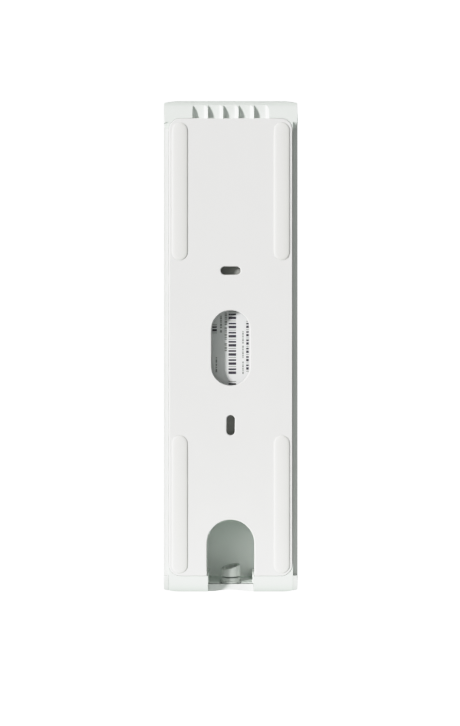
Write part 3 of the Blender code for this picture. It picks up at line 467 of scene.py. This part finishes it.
def housing_plan():
    """Outline of the rear housing: a full-width cap at the top, and narrower sides and foot."""
    half = HOUSING_HALF + (GAP - SEAM) / 2
    right = shoulder(half, 0.0)
    left = [(-x, z) for x, z in reversed(right)]
    foot = list(reversed(crowned_end(half, BODY_FOOT, -1)))
    return foot + right + crowned_end(BODY_HALF, BODY_TOP, 1) + left


def side_profile():
    """The unit from the side, as (y, z): rounded ends at the back and a round edge at the front."""
    top_round, foot_round = BODY_TOP - PLATE_TOP, PLATE_FOOT - BODY_FOOT
    front = COVER_FRONT + FRONT_ROUND
    points = arc(CAP_REAR - top_round, PLATE_TOP, top_round, 0, 90, 32)
    points += arc(front, BODY_TOP - FRONT_ROUND, FRONT_ROUND, 90, 180, 14)
    points += arc(front, BODY_FOOT + FRONT_ROUND, FRONT_ROUND, 180, 270, 14)
    points += arc(CAP_REAR - foot_round, PLATE_FOOT, foot_round, 270, 360, 32)
    return points


def cross_section():
    """The unit from above, as (x, y): a wide round at the front and a small one at the rear."""
    rear, front = BODY_HALF - REAR_ROUND, BODY_HALF - FRONT_ROUND
    points = arc(rear, CAP_REAR - REAR_ROUND, REAR_ROUND, 0, 90, 6)
    points += arc(-rear, CAP_REAR - REAR_ROUND, REAR_ROUND, 90, 180, 6)
    points += arc(-front, COVER_FRONT + FRONT_ROUND, FRONT_ROUND, 180, 270, 14)
    points += arc(front, COVER_FRONT + FRONT_ROUND, FRONT_ROUND, 270, 360, 14)
    return points


# Mesh tools ----------------------------------------------------------------------------------------


def keep(name, shape):
    """A new object from a bmesh, with its faces pointing out."""
    bmesh.ops.recalc_face_normals(shape, faces=shape.faces)
    mesh = bpy.data.meshes.new(name)
    shape.to_mesh(mesh)
    shape.free()
    made = bpy.data.objects.new(name, mesh)
    bpy.context.scene.collection.objects.link(made)
    return made


def loft(name, rings):
    """A closed solid through rings of points, each ring with as many points as the next."""
    shape = bmesh.new()
    rows = [[shape.verts.new(point) for point in ring] for ring in rings]
    for row, following in zip(rows, rows[1:]):
        for index in range(len(row)):
            after = (index + 1) % len(row)
            shape.faces.new((row[index], row[after], following[after], following[index]))
    shape.faces.new(rows[0])
    shape.faces.new(list(reversed(rows[-1])))
    return keep(name, shape)


def placed(across, a, b, level):
    """A point with level along one axis, and a and b along the other two."""
    if across == "X":
        return (level, a, b)
    if across == "Y":
        return (a, level, b)
    return (a, b, level)


def prism(name, outline, across, low, high):
    """An outline made solid along one axis. Its points are (y, z), (x, z) or (x, y)."""
    return loft(name, [[placed(across, a, b, level) for a, b in outline] for level in (low, high)])


def block(name, low, high):
    """A plain box, used to cut or join."""
    outline = [(low[0], low[2]), (high[0], low[2]), (high[0], high[2]), (low[0], high[2])]
    return prism(name, outline, "Y", low[1], high[1])


def at_depth(outline, y):
    """An outline of (x, z) points as a ring at one depth."""
    return [(x, y, z) for x, z in outline]


def flared(name, outline_at, rear, front, fillet, steps=6):
    """A cutter that leaves a rounded edge where it enters the face at rear.

    outline_at(grow) is the hole's outline, grown by that much.
    """
    rings = [at_depth(outline_at(fillet), rear + OVER)]
    for step in range(steps + 1):
        angle = math.radians(90 * step / steps)
        grow = fillet * (1 - math.sin(angle))
        depth = fillet * (1 - math.cos(angle))
        rings.append(at_depth(outline_at(grow), rear - depth))
    rings.append(at_depth(outline_at(0.0), front))
    return loft(name, rings)


def carve(target, other, operation="DIFFERENCE"):
    """Cuts, joins or intersects, and keeps the result as the target's mesh."""
    step = target.modifiers.new("carve", "BOOLEAN")
    step.operation = operation
    step.object = other
    step.solver = "EXACT"
    depsgraph = bpy.context.evaluated_depsgraph_get()
    mesh = bpy.data.meshes.new_from_object(target.evaluated_get(depsgraph))
    target.modifiers.clear()
    target.data = mesh
    bpy.data.objects.remove(other, do_unlink=True)


def revolved(name, profile, centre, closed=False, along="Z", sides=128):
    """A turned piece about an axis through centre.

    The profile's points are (radius, place along the axis). A closed profile makes a ring, and an
    open one starts and ends on the axis.
    """
    shape = bmesh.new()
    rows = []
    for step in range(sides):
        angle = 2 * math.pi * step / sides
        row = []
        for radius, level in profile:
            across, other = radius * math.cos(angle), radius * math.sin(angle)
            if along == "Z":
                point = (centre[0] + across, centre[1] + other, level)
            else:
                point = (centre[0] + across, level, centre[2] + other)
            row.append(shape.verts.new(point))
        rows.append(row)
    pairs = [(index, index + 1) for index in range(len(profile) - 1)]
    if closed:
        pairs.append((len(profile) - 1, 0))
    for row, following in zip(rows, rows[1:] + rows[:1]):
        for here, there in pairs:
            shape.faces.new((row[here], row[there], following[there], following[here]))
    bmesh.ops.remove_doubles(shape, verts=shape.verts, dist=1e-7)
    return keep(name, shape)


def softened(profile, radius, steps=4):
    """A profile whose corners are rounded, by at most radius."""
    points = [profile[0]]
    for before, corner, after in zip(profile, profile[1:], profile[2:]):
        here = Vector(corner)
        back, ahead = Vector(before) - here, Vector(after) - here
        reach = min(radius, back.length * 0.45, ahead.length * 0.45)
        start, end = here + back.normalized() * reach, here + ahead.normalized() * reach
        for step in range(steps + 1):
            t = step / steps
            point = start * (1 - t) ** 2 + here * 2 * t * (1 - t) + end * t ** 2
            points.append(tuple(point))
    points.append(profile[-1])
    return points


def finish_piece(made, finish, body, nodes=(), angle=32, weigh=True):
    """Gives a piece its material, smooth shading and body, and hides the CAD nodes it stands for."""
    made.data.materials.clear()
    made.data.materials.append(FINISHES[finish])
    made.data.shade_smooth()
    made.data.set_sharp_from_angle(angle=math.radians(angle))
    if weigh:
        weight = made.modifiers.new("flat_faces_stay_flat", "WEIGHTED_NORMAL")
        weight.keep_sharp = True
        weight.weight = 100
    if nodes:
        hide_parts(*nodes)
    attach(made, body)
    return made


# The wall plate and its pads -----------------------------------------------------------------------


def pad_size(node):
    """Middle, length and width of a pad."""
    low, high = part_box(node)
    return (low + high) / 2, high.z - low.z, high.x - low.x


def arch(grow):
    """Outline of the arch in the plate, grown by grow. It runs out past the plate's foot."""
    half = ARCH_HALF + grow
    foot = PLATE_FOOT - 0.005
    return arc(0, ARCH_TOP - ARCH_HALF, half, 0, 180, 48) + [(-half, foot), (half, foot)]


def make_plate():
    """A tray with a rounded rim, recesses for the pads, two slots, the cable hole and the arch."""
    rings = [at_depth(plate_outline(0.0), SKIRT_FRONT)]
    steps = 8
    for step in range(steps + 1):
        angle = math.radians(90 * step / steps)
        inset = PLATE_RIM * (1 - math.cos(angle))
        rings.append(at_depth(plate_outline(inset), PLATE_REAR - PLATE_RIM * (1 - math.sin(angle))))
    plate = loft("wall_plate_fine", rings)
    front = SKIRT_FRONT - OVER
    carve(plate, prism("tray", plate_outline(SKIRT), "Y", front, FLOOR_FRONT))
    in_floor = FLOOR_FRONT + 0.0005
    for side in (-1, 1):
        low_x, high_x = side * HOOK_X - HOOK_WIDTH / 2, side * HOOK_X + HOOK_WIDTH / 2
        hook_low = (low_x, HOOK_FRONT, PLATE_TOP - HOOK_ROOT)
        carve(plate, block("hook", hook_low, (high_x, HOOK_REAR, PLATE_HIGH.z)), "UNION")
        catch_low = (low_x, PLATE_LOW.y, CATCH_Z - CATCH_REACH)
        carve(plate, block("catch", catch_low, (high_x, in_floor, CATCH_Z + CATCH_REACH)), "UNION")
    slots = (("upper", SLOT_Z, False), ("lower", -SLOT_Z, True))
    for name, level, upright in slots:
        seat = capsule(0, level, SLOT_LENGTH + 2 * SEAT_MARGIN, SLOT_WIDTH + 2 * SEAT_MARGIN, upright)
        carve(plate, prism(name + "_seat", seat, "Y", FLOOR_FRONT - SEAT_HEIGHT, in_floor), "UNION")
    for name, level, upright in slots:
        slot = grown_capsule(0, level, SLOT_LENGTH, SLOT_WIDTH, upright)
        carve(plate, flared(name + "_slot", slot, PLATE_REAR, front, HOLE_ROUND))
    hole = grown_capsule(0, 0, HOLE_LENGTH, HOLE_WIDTH, steps=48)
    carve(plate, flared("cable_hole", hole, PLATE_REAR, front, HOLE_ROUND))
    carve(plate, flared("arch", arch, PLATE_REAR, front, ARCH_ROUND))
    for node in PAD_NODES:
        centre, length, width = pad_size(node)
        recess = grown_capsule(centre.x, centre.z, length + SEAM, width + SEAM, steps=24)
        carve(plate, flared("recess", recess, PLATE_REAR, PLATE_REAR - RECESS_DEPTH, 0.00003, steps=4))
    finish_piece(plate, "white_plate", "plate", ["wall_plate"])


def make_pads():
    """Adhesive foam pads, thinnest at their edges and very slightly crowned."""
    crown = (
        (0.0, -0.00090), (0.0, -0.00066), (0.00005, -0.00058), (0.00012, -0.00051),
        (0.00022, -0.00045), (0.00038, -0.00039), (0.00060, -0.00034), (0.00090, -0.00029),
        (0.00130, -0.00025), (0.00180, -0.00022), (0.00240, -0.00020), (0.00290, -0.00019),
    )
    for node in PAD_NODES:
        centre, length, width = pad_size(node)
        rings = []
        for inset, y in crown:
            outline = capsule(centre.x, centre.z, length - 2 * inset, width - 2 * inset, steps=24)
            rings.append(at_depth(outline, y))
        pad = loft(node + "_foam", rings)
        finish_piece(pad, "pad_foam", "plate", [node], angle=60)


# The rear housing ----------------------------------------------------------------------------------


def trim_to_body(shell):
    """Gives a shell the unit's rounded ends and edges."""
    carve(shell, prism("ends", side_profile(), "X", -OUTSIDE, OUTSIDE), "INTERSECT")
    carve(shell, prism("sides", cross_section(), "Z", -0.11, 0.11), "INTERSECT")


def make_housing():
    """The rear shell with its rounded ends, flutes and cable bay, and painted shade on its back face
    behind the plate.
    """
    housing = prism("rear_housing_fine", housing_plan(), "Y", HOUSING_FRONT, OVER)
    trim_to_body(housing)
    carve(housing, prism("rebate", plate_outline(-SEAM), "Y", HOUSING_BACK, PAST_WALL))
    step_low = (-OUTSIDE, HOUSING_BACK, SIDE_STEP_FOOT)
    carve(housing, block("side_step", step_low, (OUTSIDE, PAST_WALL, SIDE_STEP_TOP)))
    hollow_out(housing)
    open_channel(housing)
    for index in range(FLUTES):
        carve(housing, prism("flute", flute(index), "Z", PLATE_TOP - 0.002, PLATE_TOP + 0.012))
    recess_low = (LABEL_LOW.x - SEAM, LABEL_LOW.y - SEAM, LABEL_LOW.z - SEAM)
    recess_high = (LABEL_HIGH.x + SEAM, HOUSING_BACK + OVER, LABEL_HIGH.z + SEAM)
    carve(housing, block("label_recess", recess_low, recess_high))
    add_sockets(housing)
    for side in (-1, 1):
        inner, outer = sorted((side * (PLATE_HALF + SEAM), side * (BODY_HALF - REAR_ROUND)))
        level = CAP_EDGE - CROWN_DROP / 2
        ramp = [(CAP_REAR - 0.0001, level), (MARGIN_REAR, level - SHOULDER_FALL), (MARGIN_REAR, level)]
        carve(housing, prism("shoulder_ramp", ramp, "X", inner, outer), "UNION")
    finish_piece(housing, "white_shell", "unit", ["rear_housing"])
    # The back face behind the plate gets the dark grey: painted shade where little light reaches, not a
    # different plastic.
    housing.data.materials.append(FINISHES["shell_back_painted_shade"])
    for face in housing.data.polygons:
        if face.normal.y > 0.9 and abs(face.center.y - HOUSING_BACK) < 0.0001:
            face.material_index = 1


def hollow_out(housing):
    """The room inside the shell, and the walled cable bay that stands in it."""
    inside = HOUSING_HALF - HOUSING_WALL
    foot = BODY_FOOT + END_WALL
    room_high = (inside, HOUSING_BACK - HOUSING_WALL, BODY_TOP - END_WALL)
    carve(housing, block("hollow", (-inside, HOUSING_FRONT - OVER, foot), room_high))
    half, in_back = BAY_HALF + BAY_WALL, HOUSING_BACK - HOUSING_WALL / 2
    walls_low = (-half, BAY_FLOOR - BAY_WALL, foot + GAP)
    carve(housing, block("bay_block", walls_low, (half, in_back, BAY_TOP + BAY_WALL)), "UNION")
    bay_low = (-BAY_HALF, BAY_FLOOR, BAY_FOOT)
    carve(housing, block("bay", bay_low, (BAY_HALF, PAST_WALL, BAY_TOP)))


def open_channel(housing):
    """The channel from the bay to the foot, with the grommet's seat and a sill that slopes."""
    under_sill = BODY_FOOT + END_WALL + GAP / 2
    for name, half, rear, low, high in (
        ("channel", CHANNEL_HALF, BAY_FLOOR, CHANNEL_SILL, BAY_FOOT + OVER),
        ("mouth", MOUTH_HALF, CHANNEL_MOUTH, under_sill - OVER, BAY_FOOT + OVER),
        ("foot_opening", MOUTH_HALF, HOUSING_FRONT - OVER, BODY_FOOT - 0.002, under_sill),
    ):
        carve(housing, block(name, (-half, rear, low), (half, PAST_WALL, high)))
    grommet = middle("cable_grommet")
    open_end = CHANNEL_MOUTH + OVER
    seat = arc(grommet.x, grommet.y, GROMMET_SEAT, 180, 360, 48)
    seat += [(GROMMET_SEAT, open_end), (-GROMMET_SEAT, open_end)]
    carve(housing, prism("grommet_seat", seat, "Z", CHANNEL_SILL - 0.002, CHANNEL_SILL + 0.002))
    above_sill = CHANNEL_SILL + 0.001
    ramp = [
        (BAY_FLOOR, CHANNEL_SILL), (open_end, CHANNEL_SILL - SILL_FALL),
        (open_end, above_sill), (BAY_FLOOR, above_sill),
    ]
    carve(housing, prism("sill_ramp", ramp, "X", -CHANNEL_HALF, CHANNEL_HALF))


def flute(index):
    """Section of one flute, as (x, y).

    It has a steep side, a flat floor, and a side that curves up to the next rib.
    """
    x = (index - (FLUTES - 1) / 2) * FLUTE_PITCH
    steep, floor, turn = x + FLUTE_RADIUS, CAP_REAR - FLUTE_DEPTH, x - FLUTE_RADIUS * 0.45
    points = [(steep, CAP_REAR + OVER), (steep, CAP_REAR - 0.0001)]
    points += arc(steep - 0.0005, floor + 0.0004, 0.0004, 0, -90, 6)
    steps = 20
    for step in range(steps + 1):
        angle = math.radians(90 * step / steps)
        reach = turn - (x - FLUTE_RADIUS)
        points.append((turn - reach * math.sin(angle), CAP_REAR - FLUTE_DEPTH * math.cos(angle)))
    points.append((x - FLUTE_RADIUS, CAP_REAR + OVER))
    return points


def add_sockets(housing):
    """Pockets for the plate's hooks and catches, screw holes, and bosses for the main board."""
    in_back = HOUSING_BACK - HOUSING_WALL / 2
    reach = CATCH_REACH + 0.0006
    wall, end_wall = 0.0008, 0.0012
    for side in (-1, 1):
        low_x = side * HOOK_X - HOOK_WIDTH / 2 - POCKET_ROOM
        high_x = side * HOOK_X + HOOK_WIDTH / 2 + POCKET_ROOM
        pocket_low = (low_x, HOUSING_BACK - GAP, PLATE_TOP - 0.001)
        carve(housing, block("hook_pocket", pocket_low, (high_x, -0.0032, PLATE_HIGH.z + 0.0007)))
        boss_low = (low_x - wall, PLATE_LOW.y - 0.0026, CATCH_Z - reach - end_wall)
        boss_high = (high_x + wall, in_back, CATCH_Z + reach + end_wall)
        carve(housing, block("socket_boss", boss_low, boss_high), "UNION")
        socket_low = (low_x, PLATE_LOW.y - 0.0010, CATCH_Z - reach)
        carve(housing, block("socket", socket_low, (high_x, HOUSING_BACK + OVER, CATCH_Z + reach)))
        for level in BOSS_Z:
            boss = circle(side * BOSS_X, level, POST_RADIUS, 32)
            carve(housing, prism("boss", boss, "Y", -0.0147, in_back), "UNION")
            bore = circle(side * BOSS_X, level, 0.0012, 24)
            carve(housing, prism("bore", bore, "Y", -0.0160, -0.0107))
        for level in POST_Z:
            hole = circle(side * POST_X, level, SCREW_HOLE, 24)
            carve(housing, prism("hole", hole, "Y", -0.0097, -0.0017))


# The front cover -----------------------------------------------------------------------------------


def make_cover():
    """The outer shell with its front openings and the tongue across the cable channel."""
    cover = prism("front_cover_fine", unit_plan(), "Y", COVER_FRONT, OVER)
    trim_to_body(cover)
    beyond = 0.099
    seat = HOUSING_HALF + (GAP + SEAM) / 2
    tongue = MOUTH_HALF - SEAM
    floor = BODY_FOOT + END_WALL
    right = [(tongue, floor), (tongue, -beyond), (seat, -beyond)] + shoulder(seat, SEAM)
    right += [(OUTSIDE, CAP_EDGE - CROWN_DROP - SEAM), (OUTSIDE, beyond)]
    wrap = right + [(-x, z) for x, z in reversed(right)]
    carve(cover, prism("wrap", wrap, "Y", HOUSING_FRONT - SEAM, PAST_WALL))
    fall = MARGIN_REAR - MARGIN_DROP * (OUTSIDE - seat) / (BODY_HALF - seat)
    margin = [
        (seat, MARGIN_REAR), (OUTSIDE, fall), (OUTSIDE, PAST_WALL),
        (-OUTSIDE, PAST_WALL), (-OUTSIDE, fall), (-seat, MARGIN_REAR),
    ]
    carve(cover, prism("margins", margin, "Z", MARGIN_FOOT, beyond))
    tongue_end_high = (0.009, PAST_WALL, floor + 0.001)
    carve(cover, block("tongue_end", (-0.009, LIP_REAR, -beyond), tongue_end_high))
    seal_high = (seat, HOUSING_FRONT, BODY_TOP - END_WALL / 2 + GAP)
    carve(cover, block("seal_step", (-seat, SEAL_STEP, floor), seal_high))
    hollow_low = (-COVER_INNER_HALF, COVER_FRONT + COVER_WALL, floor)
    hollow_high = (COVER_INNER_HALF, SEAL_STEP + OVER, BODY_TOP - END_WALL)
    carve(cover, block("hollow", hollow_low, hollow_high))
    carve(cover, prism("notch", foot_notch(), "Y", COVER_FRONT - OVER, 0.001))
    cut_front(cover)
    for side in (-1, 1):
        for level in POST_Z:
            front = COVER_FRONT + COVER_WALL * (0.8 if level > 0 else 0.5)
            post = circle(side * POST_X, level, POST_RADIUS, 32)
            carve(cover, prism("post", post, "Y", front, HOUSING_BACK - HOUSING_WALL - GAP), "UNION")
            bore = circle(side * POST_X, level, SCREW_HOLE, 24)
            carve(cover, prism("bore", bore, "Y", -0.0166, -0.0066))
    finish_piece(cover, "white_cover", "unit", ["front_cover"])


def foot_notch():
    """A shallow arch in the underside of the foot, over the cable channel."""
    steps = 48
    below, edge = BODY_FOOT - 0.003, BODY_FOOT - 0.0001
    points = [(NOTCH_HALF, below), (NOTCH_HALF, edge)]
    for step in range(1, steps):
        x = NOTCH_HALF * (1 - 2 * step / steps)
        points.append((x, BODY_FOOT + NOTCH_DEPTH * (1 + math.cos(math.pi * x / NOTCH_HALF)) / 2))
    points += [(-NOTCH_HALF, edge), (-NOTCH_HALF, below)]
    return points


def cut_front(cover):
    """Openings for the window, light ring, speaker, microphone and grommet."""
    before, ledge = COVER_FRONT - OVER, 0.0027
    recess = rounded_box(WINDOW_HIGH.x + GAP, WINDOW_LOW.z - GAP, WINDOW_HIGH.z + GAP, 0.0060)
    opening = rounded_box(
        WINDOW_HIGH.x - ledge, WINDOW_LOW.z + ledge, WINDOW_HIGH.z - ledge, 0.0035)
    carve(cover, prism("recess", recess, "Y", before, WINDOW_HIGH.y + GAP))
    carve(cover, prism("opening", opening, "Y", before, COVER_FRONT + 0.004))
    ring_hole = circle(0.0, middle("button_cap").z, 0.0165, 128)
    carve(cover, prism("ring_hole", ring_hole, "Y", COVER_FRONT - 0.0015, COVER_FRONT + 0.0035))
    speaker_z = middle("speaker_mesh").z
    rows = 5
    for row in range(rows):
        reach = 0.0060 if row in (0, rows - 1) else 0.0085
        level = speaker_z + (row - 2) * 0.0030
        slot = capsule(0.0, level, 2 * reach, 0.0012, upright=False, steps=16)
        carve(cover, prism("slot", slot, "Y", before, COVER_FRONT + 0.004))
    port = circle(0.0, middle("microphone").z, 0.0008, 32)
    carve(cover, prism("port", port, "Y", before, COVER_FRONT + 0.0035))
    grommet = middle("cable_grommet")
    lead = circle(grommet.x, grommet.y, LEAD_HOLE, 64)
    carve(cover, prism("lead_hole", lead, "Z", BODY_FOOT - 0.002, BODY_FOOT + 0.004))


# The label, grommet and plug -----------------------------------------------------------------------


def bar_column(low_x, high_x, top, foot, size):
    """Bars one, two and three sizes deep in turn, with even gaps, downwards from top."""
    marks = []
    z = top
    index = 0
    while z > foot:
        depth = size * (1 + index % 3)
        marks.append((low_x, high_x, z - depth, z, index % 3 == 0))
        z -= depth + size * 1.5
        index += 1
    return marks


def dash_line(low_x, high_x, top, foot, size):
    """A line of small dashes of three lengths, with a wider gap now and then, downwards from top."""
    marks = []
    z = top
    index = 0
    while z > foot:
        length = size * (1.0 + 0.8 * (index * 5 % 3))
        if index % 7 < 6:
            marks.append((low_x, high_x, z - length, z, True))
        z -= length + size * 0.7
        index += 1
    return marks


def label_marks():
    """Plain bars and dashes that say nothing, as (low x, high x, low z, high z, grey or not)."""
    size = 0.00034
    marks = []
    for top, foot in ((0.0143, -0.0095), (-0.0129, -0.0173), (0.0200, 0.0156)):
        marks += bar_column(-0.00212, 0.00086, top, foot, size)
    marks += bar_column(-0.00705, -0.00605, 0.0106, -0.0096, 0.00031)
    marks += dash_line(-0.0051, -0.0045, 0.0066, -0.0104, size)
    marks += dash_line(0.0014, 0.0024, 0.0138, -0.0010, size)
    marks += dash_line(0.0034, 0.0042, 0.0126, 0.0060, size)
    marks += bar_column(0.0054, 0.0072, 0.0092, 0.0059, 0.00030)
    marks += dash_line(0.0053, 0.0059, -0.0036, -0.0084, 0.00050)
    return marks


def make_label():
    """A satin film with its print as thin raised boxes."""
    film = block("rating_label_fine", LABEL_LOW, LABEL_HIGH)
    finish_piece(film, "label_film", "unit", ["rating_label"], weigh=False)
    film.data.materials.append(FINISHES["label_ink"])
    film.data.materials.append(FINISHES["label_grey_ink"])
    printed = bmesh.new()
    printed.from_mesh(film.data)
    rear, front = LABEL_HIGH.y + 0.00001, LABEL_HIGH.y - 0.00002
    for low_x, high_x, low_z, high_z, grey in label_marks():
        corners = ((low_x, low_z), (low_x, high_z), (high_x, high_z), (high_x, low_z))
        outer = [printed.verts.new((x, rear, z)) for x, z in corners]
        inner = [printed.verts.new((x, front, z)) for x, z in corners]
        faces = [printed.faces.new(outer), printed.faces.new(list(reversed(inner)))]
        for index in range(4):
            after = (index + 1) % 4
            faces.append(printed.faces.new((outer[after], outer[index], inner[index], inner[after])))
        for face in faces:
            face.material_index = 2 if grey else 1
    printed.to_mesh(film.data)
    printed.free()


def make_fittings():
    """The ribbed grommet at the mouth of the channel, and the plug with a slanted cup for a head."""
    centre = middle("cable_grommet")
    axis = (centre.x, centre.y, 0.0)
    top, foot = GROMMET_HIGH.z, GROMMET_LOW.z
    floor = BODY_FOOT + END_WALL + GAP
    outer, flange, neck, bore = 0.0038, GROMMET_HIGH.x, 0.00295, 0.0016
    profile = [(bore, top), (outer - 0.0002, top)]
    ribs = 3
    pitch = (top - floor - 0.0005) / ribs
    for rib in range(ribs):
        level = top - rib * pitch
        below = level - pitch
        profile += [(outer, level - 0.00015), (outer, below + 0.00025), (outer - 0.00022, below + 0.0001)]
    profile += [(flange, floor + 0.0004), (flange, floor), (neck, floor), (neck, foot), (bore, foot)]
    grommet = revolved("cable_grommet_fine", softened(profile, FITTING_ROUND), axis, closed=True)
    finish_piece(grommet, "grey_rubber", "unit", ["cable_grommet"])
    radius, stem = PLUG_HIGH.x, bore - GAP
    profile = [
        (0.0, PLUG_LOW.z), (stem, PLUG_LOW.z), (stem, PLUG_HEAD),
        (radius - 0.00015, PLUG_HEAD), (radius, PLUG_HEAD + 0.0002), (radius, CUP_FLOOR),
        (radius - 0.0001, CUP_TOP), (radius - 0.0009, CUP_TOP),
        (radius - 0.0011, CUP_FLOOR + 0.0002), (0.0, CUP_FLOOR),
    ]
    plug = revolved("blanking_plug_fine", softened(profile, FITTING_ROUND), axis)
    slant = block("slant", (-0.006, -0.006, -0.003), (0.006, 0.006, 0.003))
    slant.rotation_euler = (math.radians(-8), math.radians(11), 0.0)
    slant.location = (0.0, centre.y, (CUP_TOP + CUP_FLOOR) / 2 + 0.0032)
    bpy.context.view_layer.update()
    carve(plug, slant)
    finish_piece(plug, "grey_rubber", "unit", ["blanking_plug"])


# The front -----------------------------------------------------------------------------------------


def make_window():
    """The dark window, with a soft edge and holes for the camera and the motion lens."""
    low, high = WINDOW_LOW, WINDOW_HIGH
    edge, corner = 0.00035, 0.0057
    rings = [at_depth(rounded_box(high.x, low.z, high.z, corner), high.y)]
    steps = 5
    for step in range(steps + 1):
        angle = math.radians(90 * step / steps)
        inset = edge * (1 - math.cos(angle))
        outline = rounded_box(high.x - inset, low.z + inset, high.z - inset, corner - inset)
        rings.append(at_depth(outline, low.y + edge * (1 - math.sin(angle))))
    window = loft("front_window_fine", rings)
    for node, radius in (("front_lens", 0.0075), ("motion_lens", 0.0066)):
        hole = circle(0.0, middle(node).z, radius, 128)
        carve(window, prism("hole", hole, "Y", low.y - OVER, high.y + OVER))
    finish_piece(window, "black_gloss", "unit", ["front_window"])


def raised(profile):
    """A profile of (radius, height above the cover's face) as (radius, y)."""
    return [(radius, COVER_FRONT - height) for radius, height in profile]


def domed(low, high, steps, groove_every=0):
    """A turned lens that fills a box, with a fine groove at every so many steps if asked for."""
    profile = [(0.0, low.y)]
    for step in range(1, steps + 1):
        radius = high.x * step / steps
        grooved = groove_every and step % groove_every == 0 and step < steps
        groove = GROOVE if grooved else 0.0
        profile.append((radius, low.y + groove + DOME_FALL * (radius / high.x) ** 2))
    return profile + [(high.x, high.y), (0.0, high.y)]


def make_lenses():
    """The camera's bezel and glass, and the motion lens, all turned."""
    centre = (0.0, 0.0, middle("front_lens").z)
    rim, outer = 0.0006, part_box("lens_bezel")[1].x
    bezel = [
        (0.0054, 0.0), (0.0058, rim), (0.0062, rim), (0.0063, 0.00052), (0.0065, 0.00052),
        (0.0066, rim), (0.0070, rim), (outer, 0.0004), (outer, -0.0012), (0.0054, -0.0012),
    ]
    bezel = softened(raised(bezel), 0.0001)
    made = revolved("lens_bezel_fine", bezel, centre, closed=True, along="Y")
    finish_piece(made, "aluminium", "unit", ["lens_bezel"])
    made = revolved("front_lens_fine", domed(LENS_LOW, LENS_HIGH, 20), centre, along="Y")
    finish_piece(made, "lens_glass", "unit", ["front_lens"])
    centre = (0.0, 0.0, middle("motion_lens").z)
    dome = domed(MOTION_LOW, MOTION_HIGH, 36, groove_every=4)
    made = revolved("motion_lens_fine", dome, centre, along="Y")
    finish_piece(made, "motion_lens", "unit", ["motion_lens"], angle=20)


def make_button():
    """The light ring and the button cap in it, both turned."""
    centre = (0.0, 0.0, middle("button_cap").z)
    inner, outer, flange = 0.0145, 0.0162, RING_HIGH.x
    ring = [
        (inner, 0.0), (0.0159, 0.0), (outer, -0.0003), (outer, -0.0023),
        (flange, -0.0023), (flange, -0.0030), (inner, -0.0030),
    ]
    ring = softened(raised(ring), 0.00015)
    made = revolved("button_light_ring_fine", ring, centre, closed=True, along="Y")
    finish_piece(made, "light_guide", "unit", ["button_light_ring"])
    face, side, pusher, skirt = 0.0130, 0.0140, 0.0030, CAP_HIGH.x
    cap = [(0.0, 0.0004)]
    steps = 12
    for step in range(1, steps + 1):
        radius = face * step / steps
        cap.append((radius, 0.0004 + 0.0002 * (radius / face) ** 2))
    cap += [(0.0136, 0.00052), (0.0139, 0.0003), (side, 0.0), (side, -0.0033)]
    cap += [(skirt, -0.0033), (skirt, -0.0041), (pusher, -0.0041)]
    cap = raised(cap) + [(pusher, CAP_HIGH.y), (0.0, CAP_HIGH.y)]
    made = revolved("button_cap_fine", cap, centre, along="Y")
    finish_piece(made, "button_white", "button", ["button_cap"])


# Scene ---------------------------------------------------------------------------------------------

make_camera()
make_world()
make_lights()
make_floor()
make_plate()
make_pads()
make_housing()
make_cover()
make_label()
make_fittings()
make_window()
make_lenses()
make_button()

for node_name, node in frame["nodes"].items():
    for entry in frame["record"]["subparts"]:
        if entry["node"] == node_name:
            node.data.materials.clear()
            node.data.materials.append(FINISHES[entry["material_slot"]])

soften_highlights()
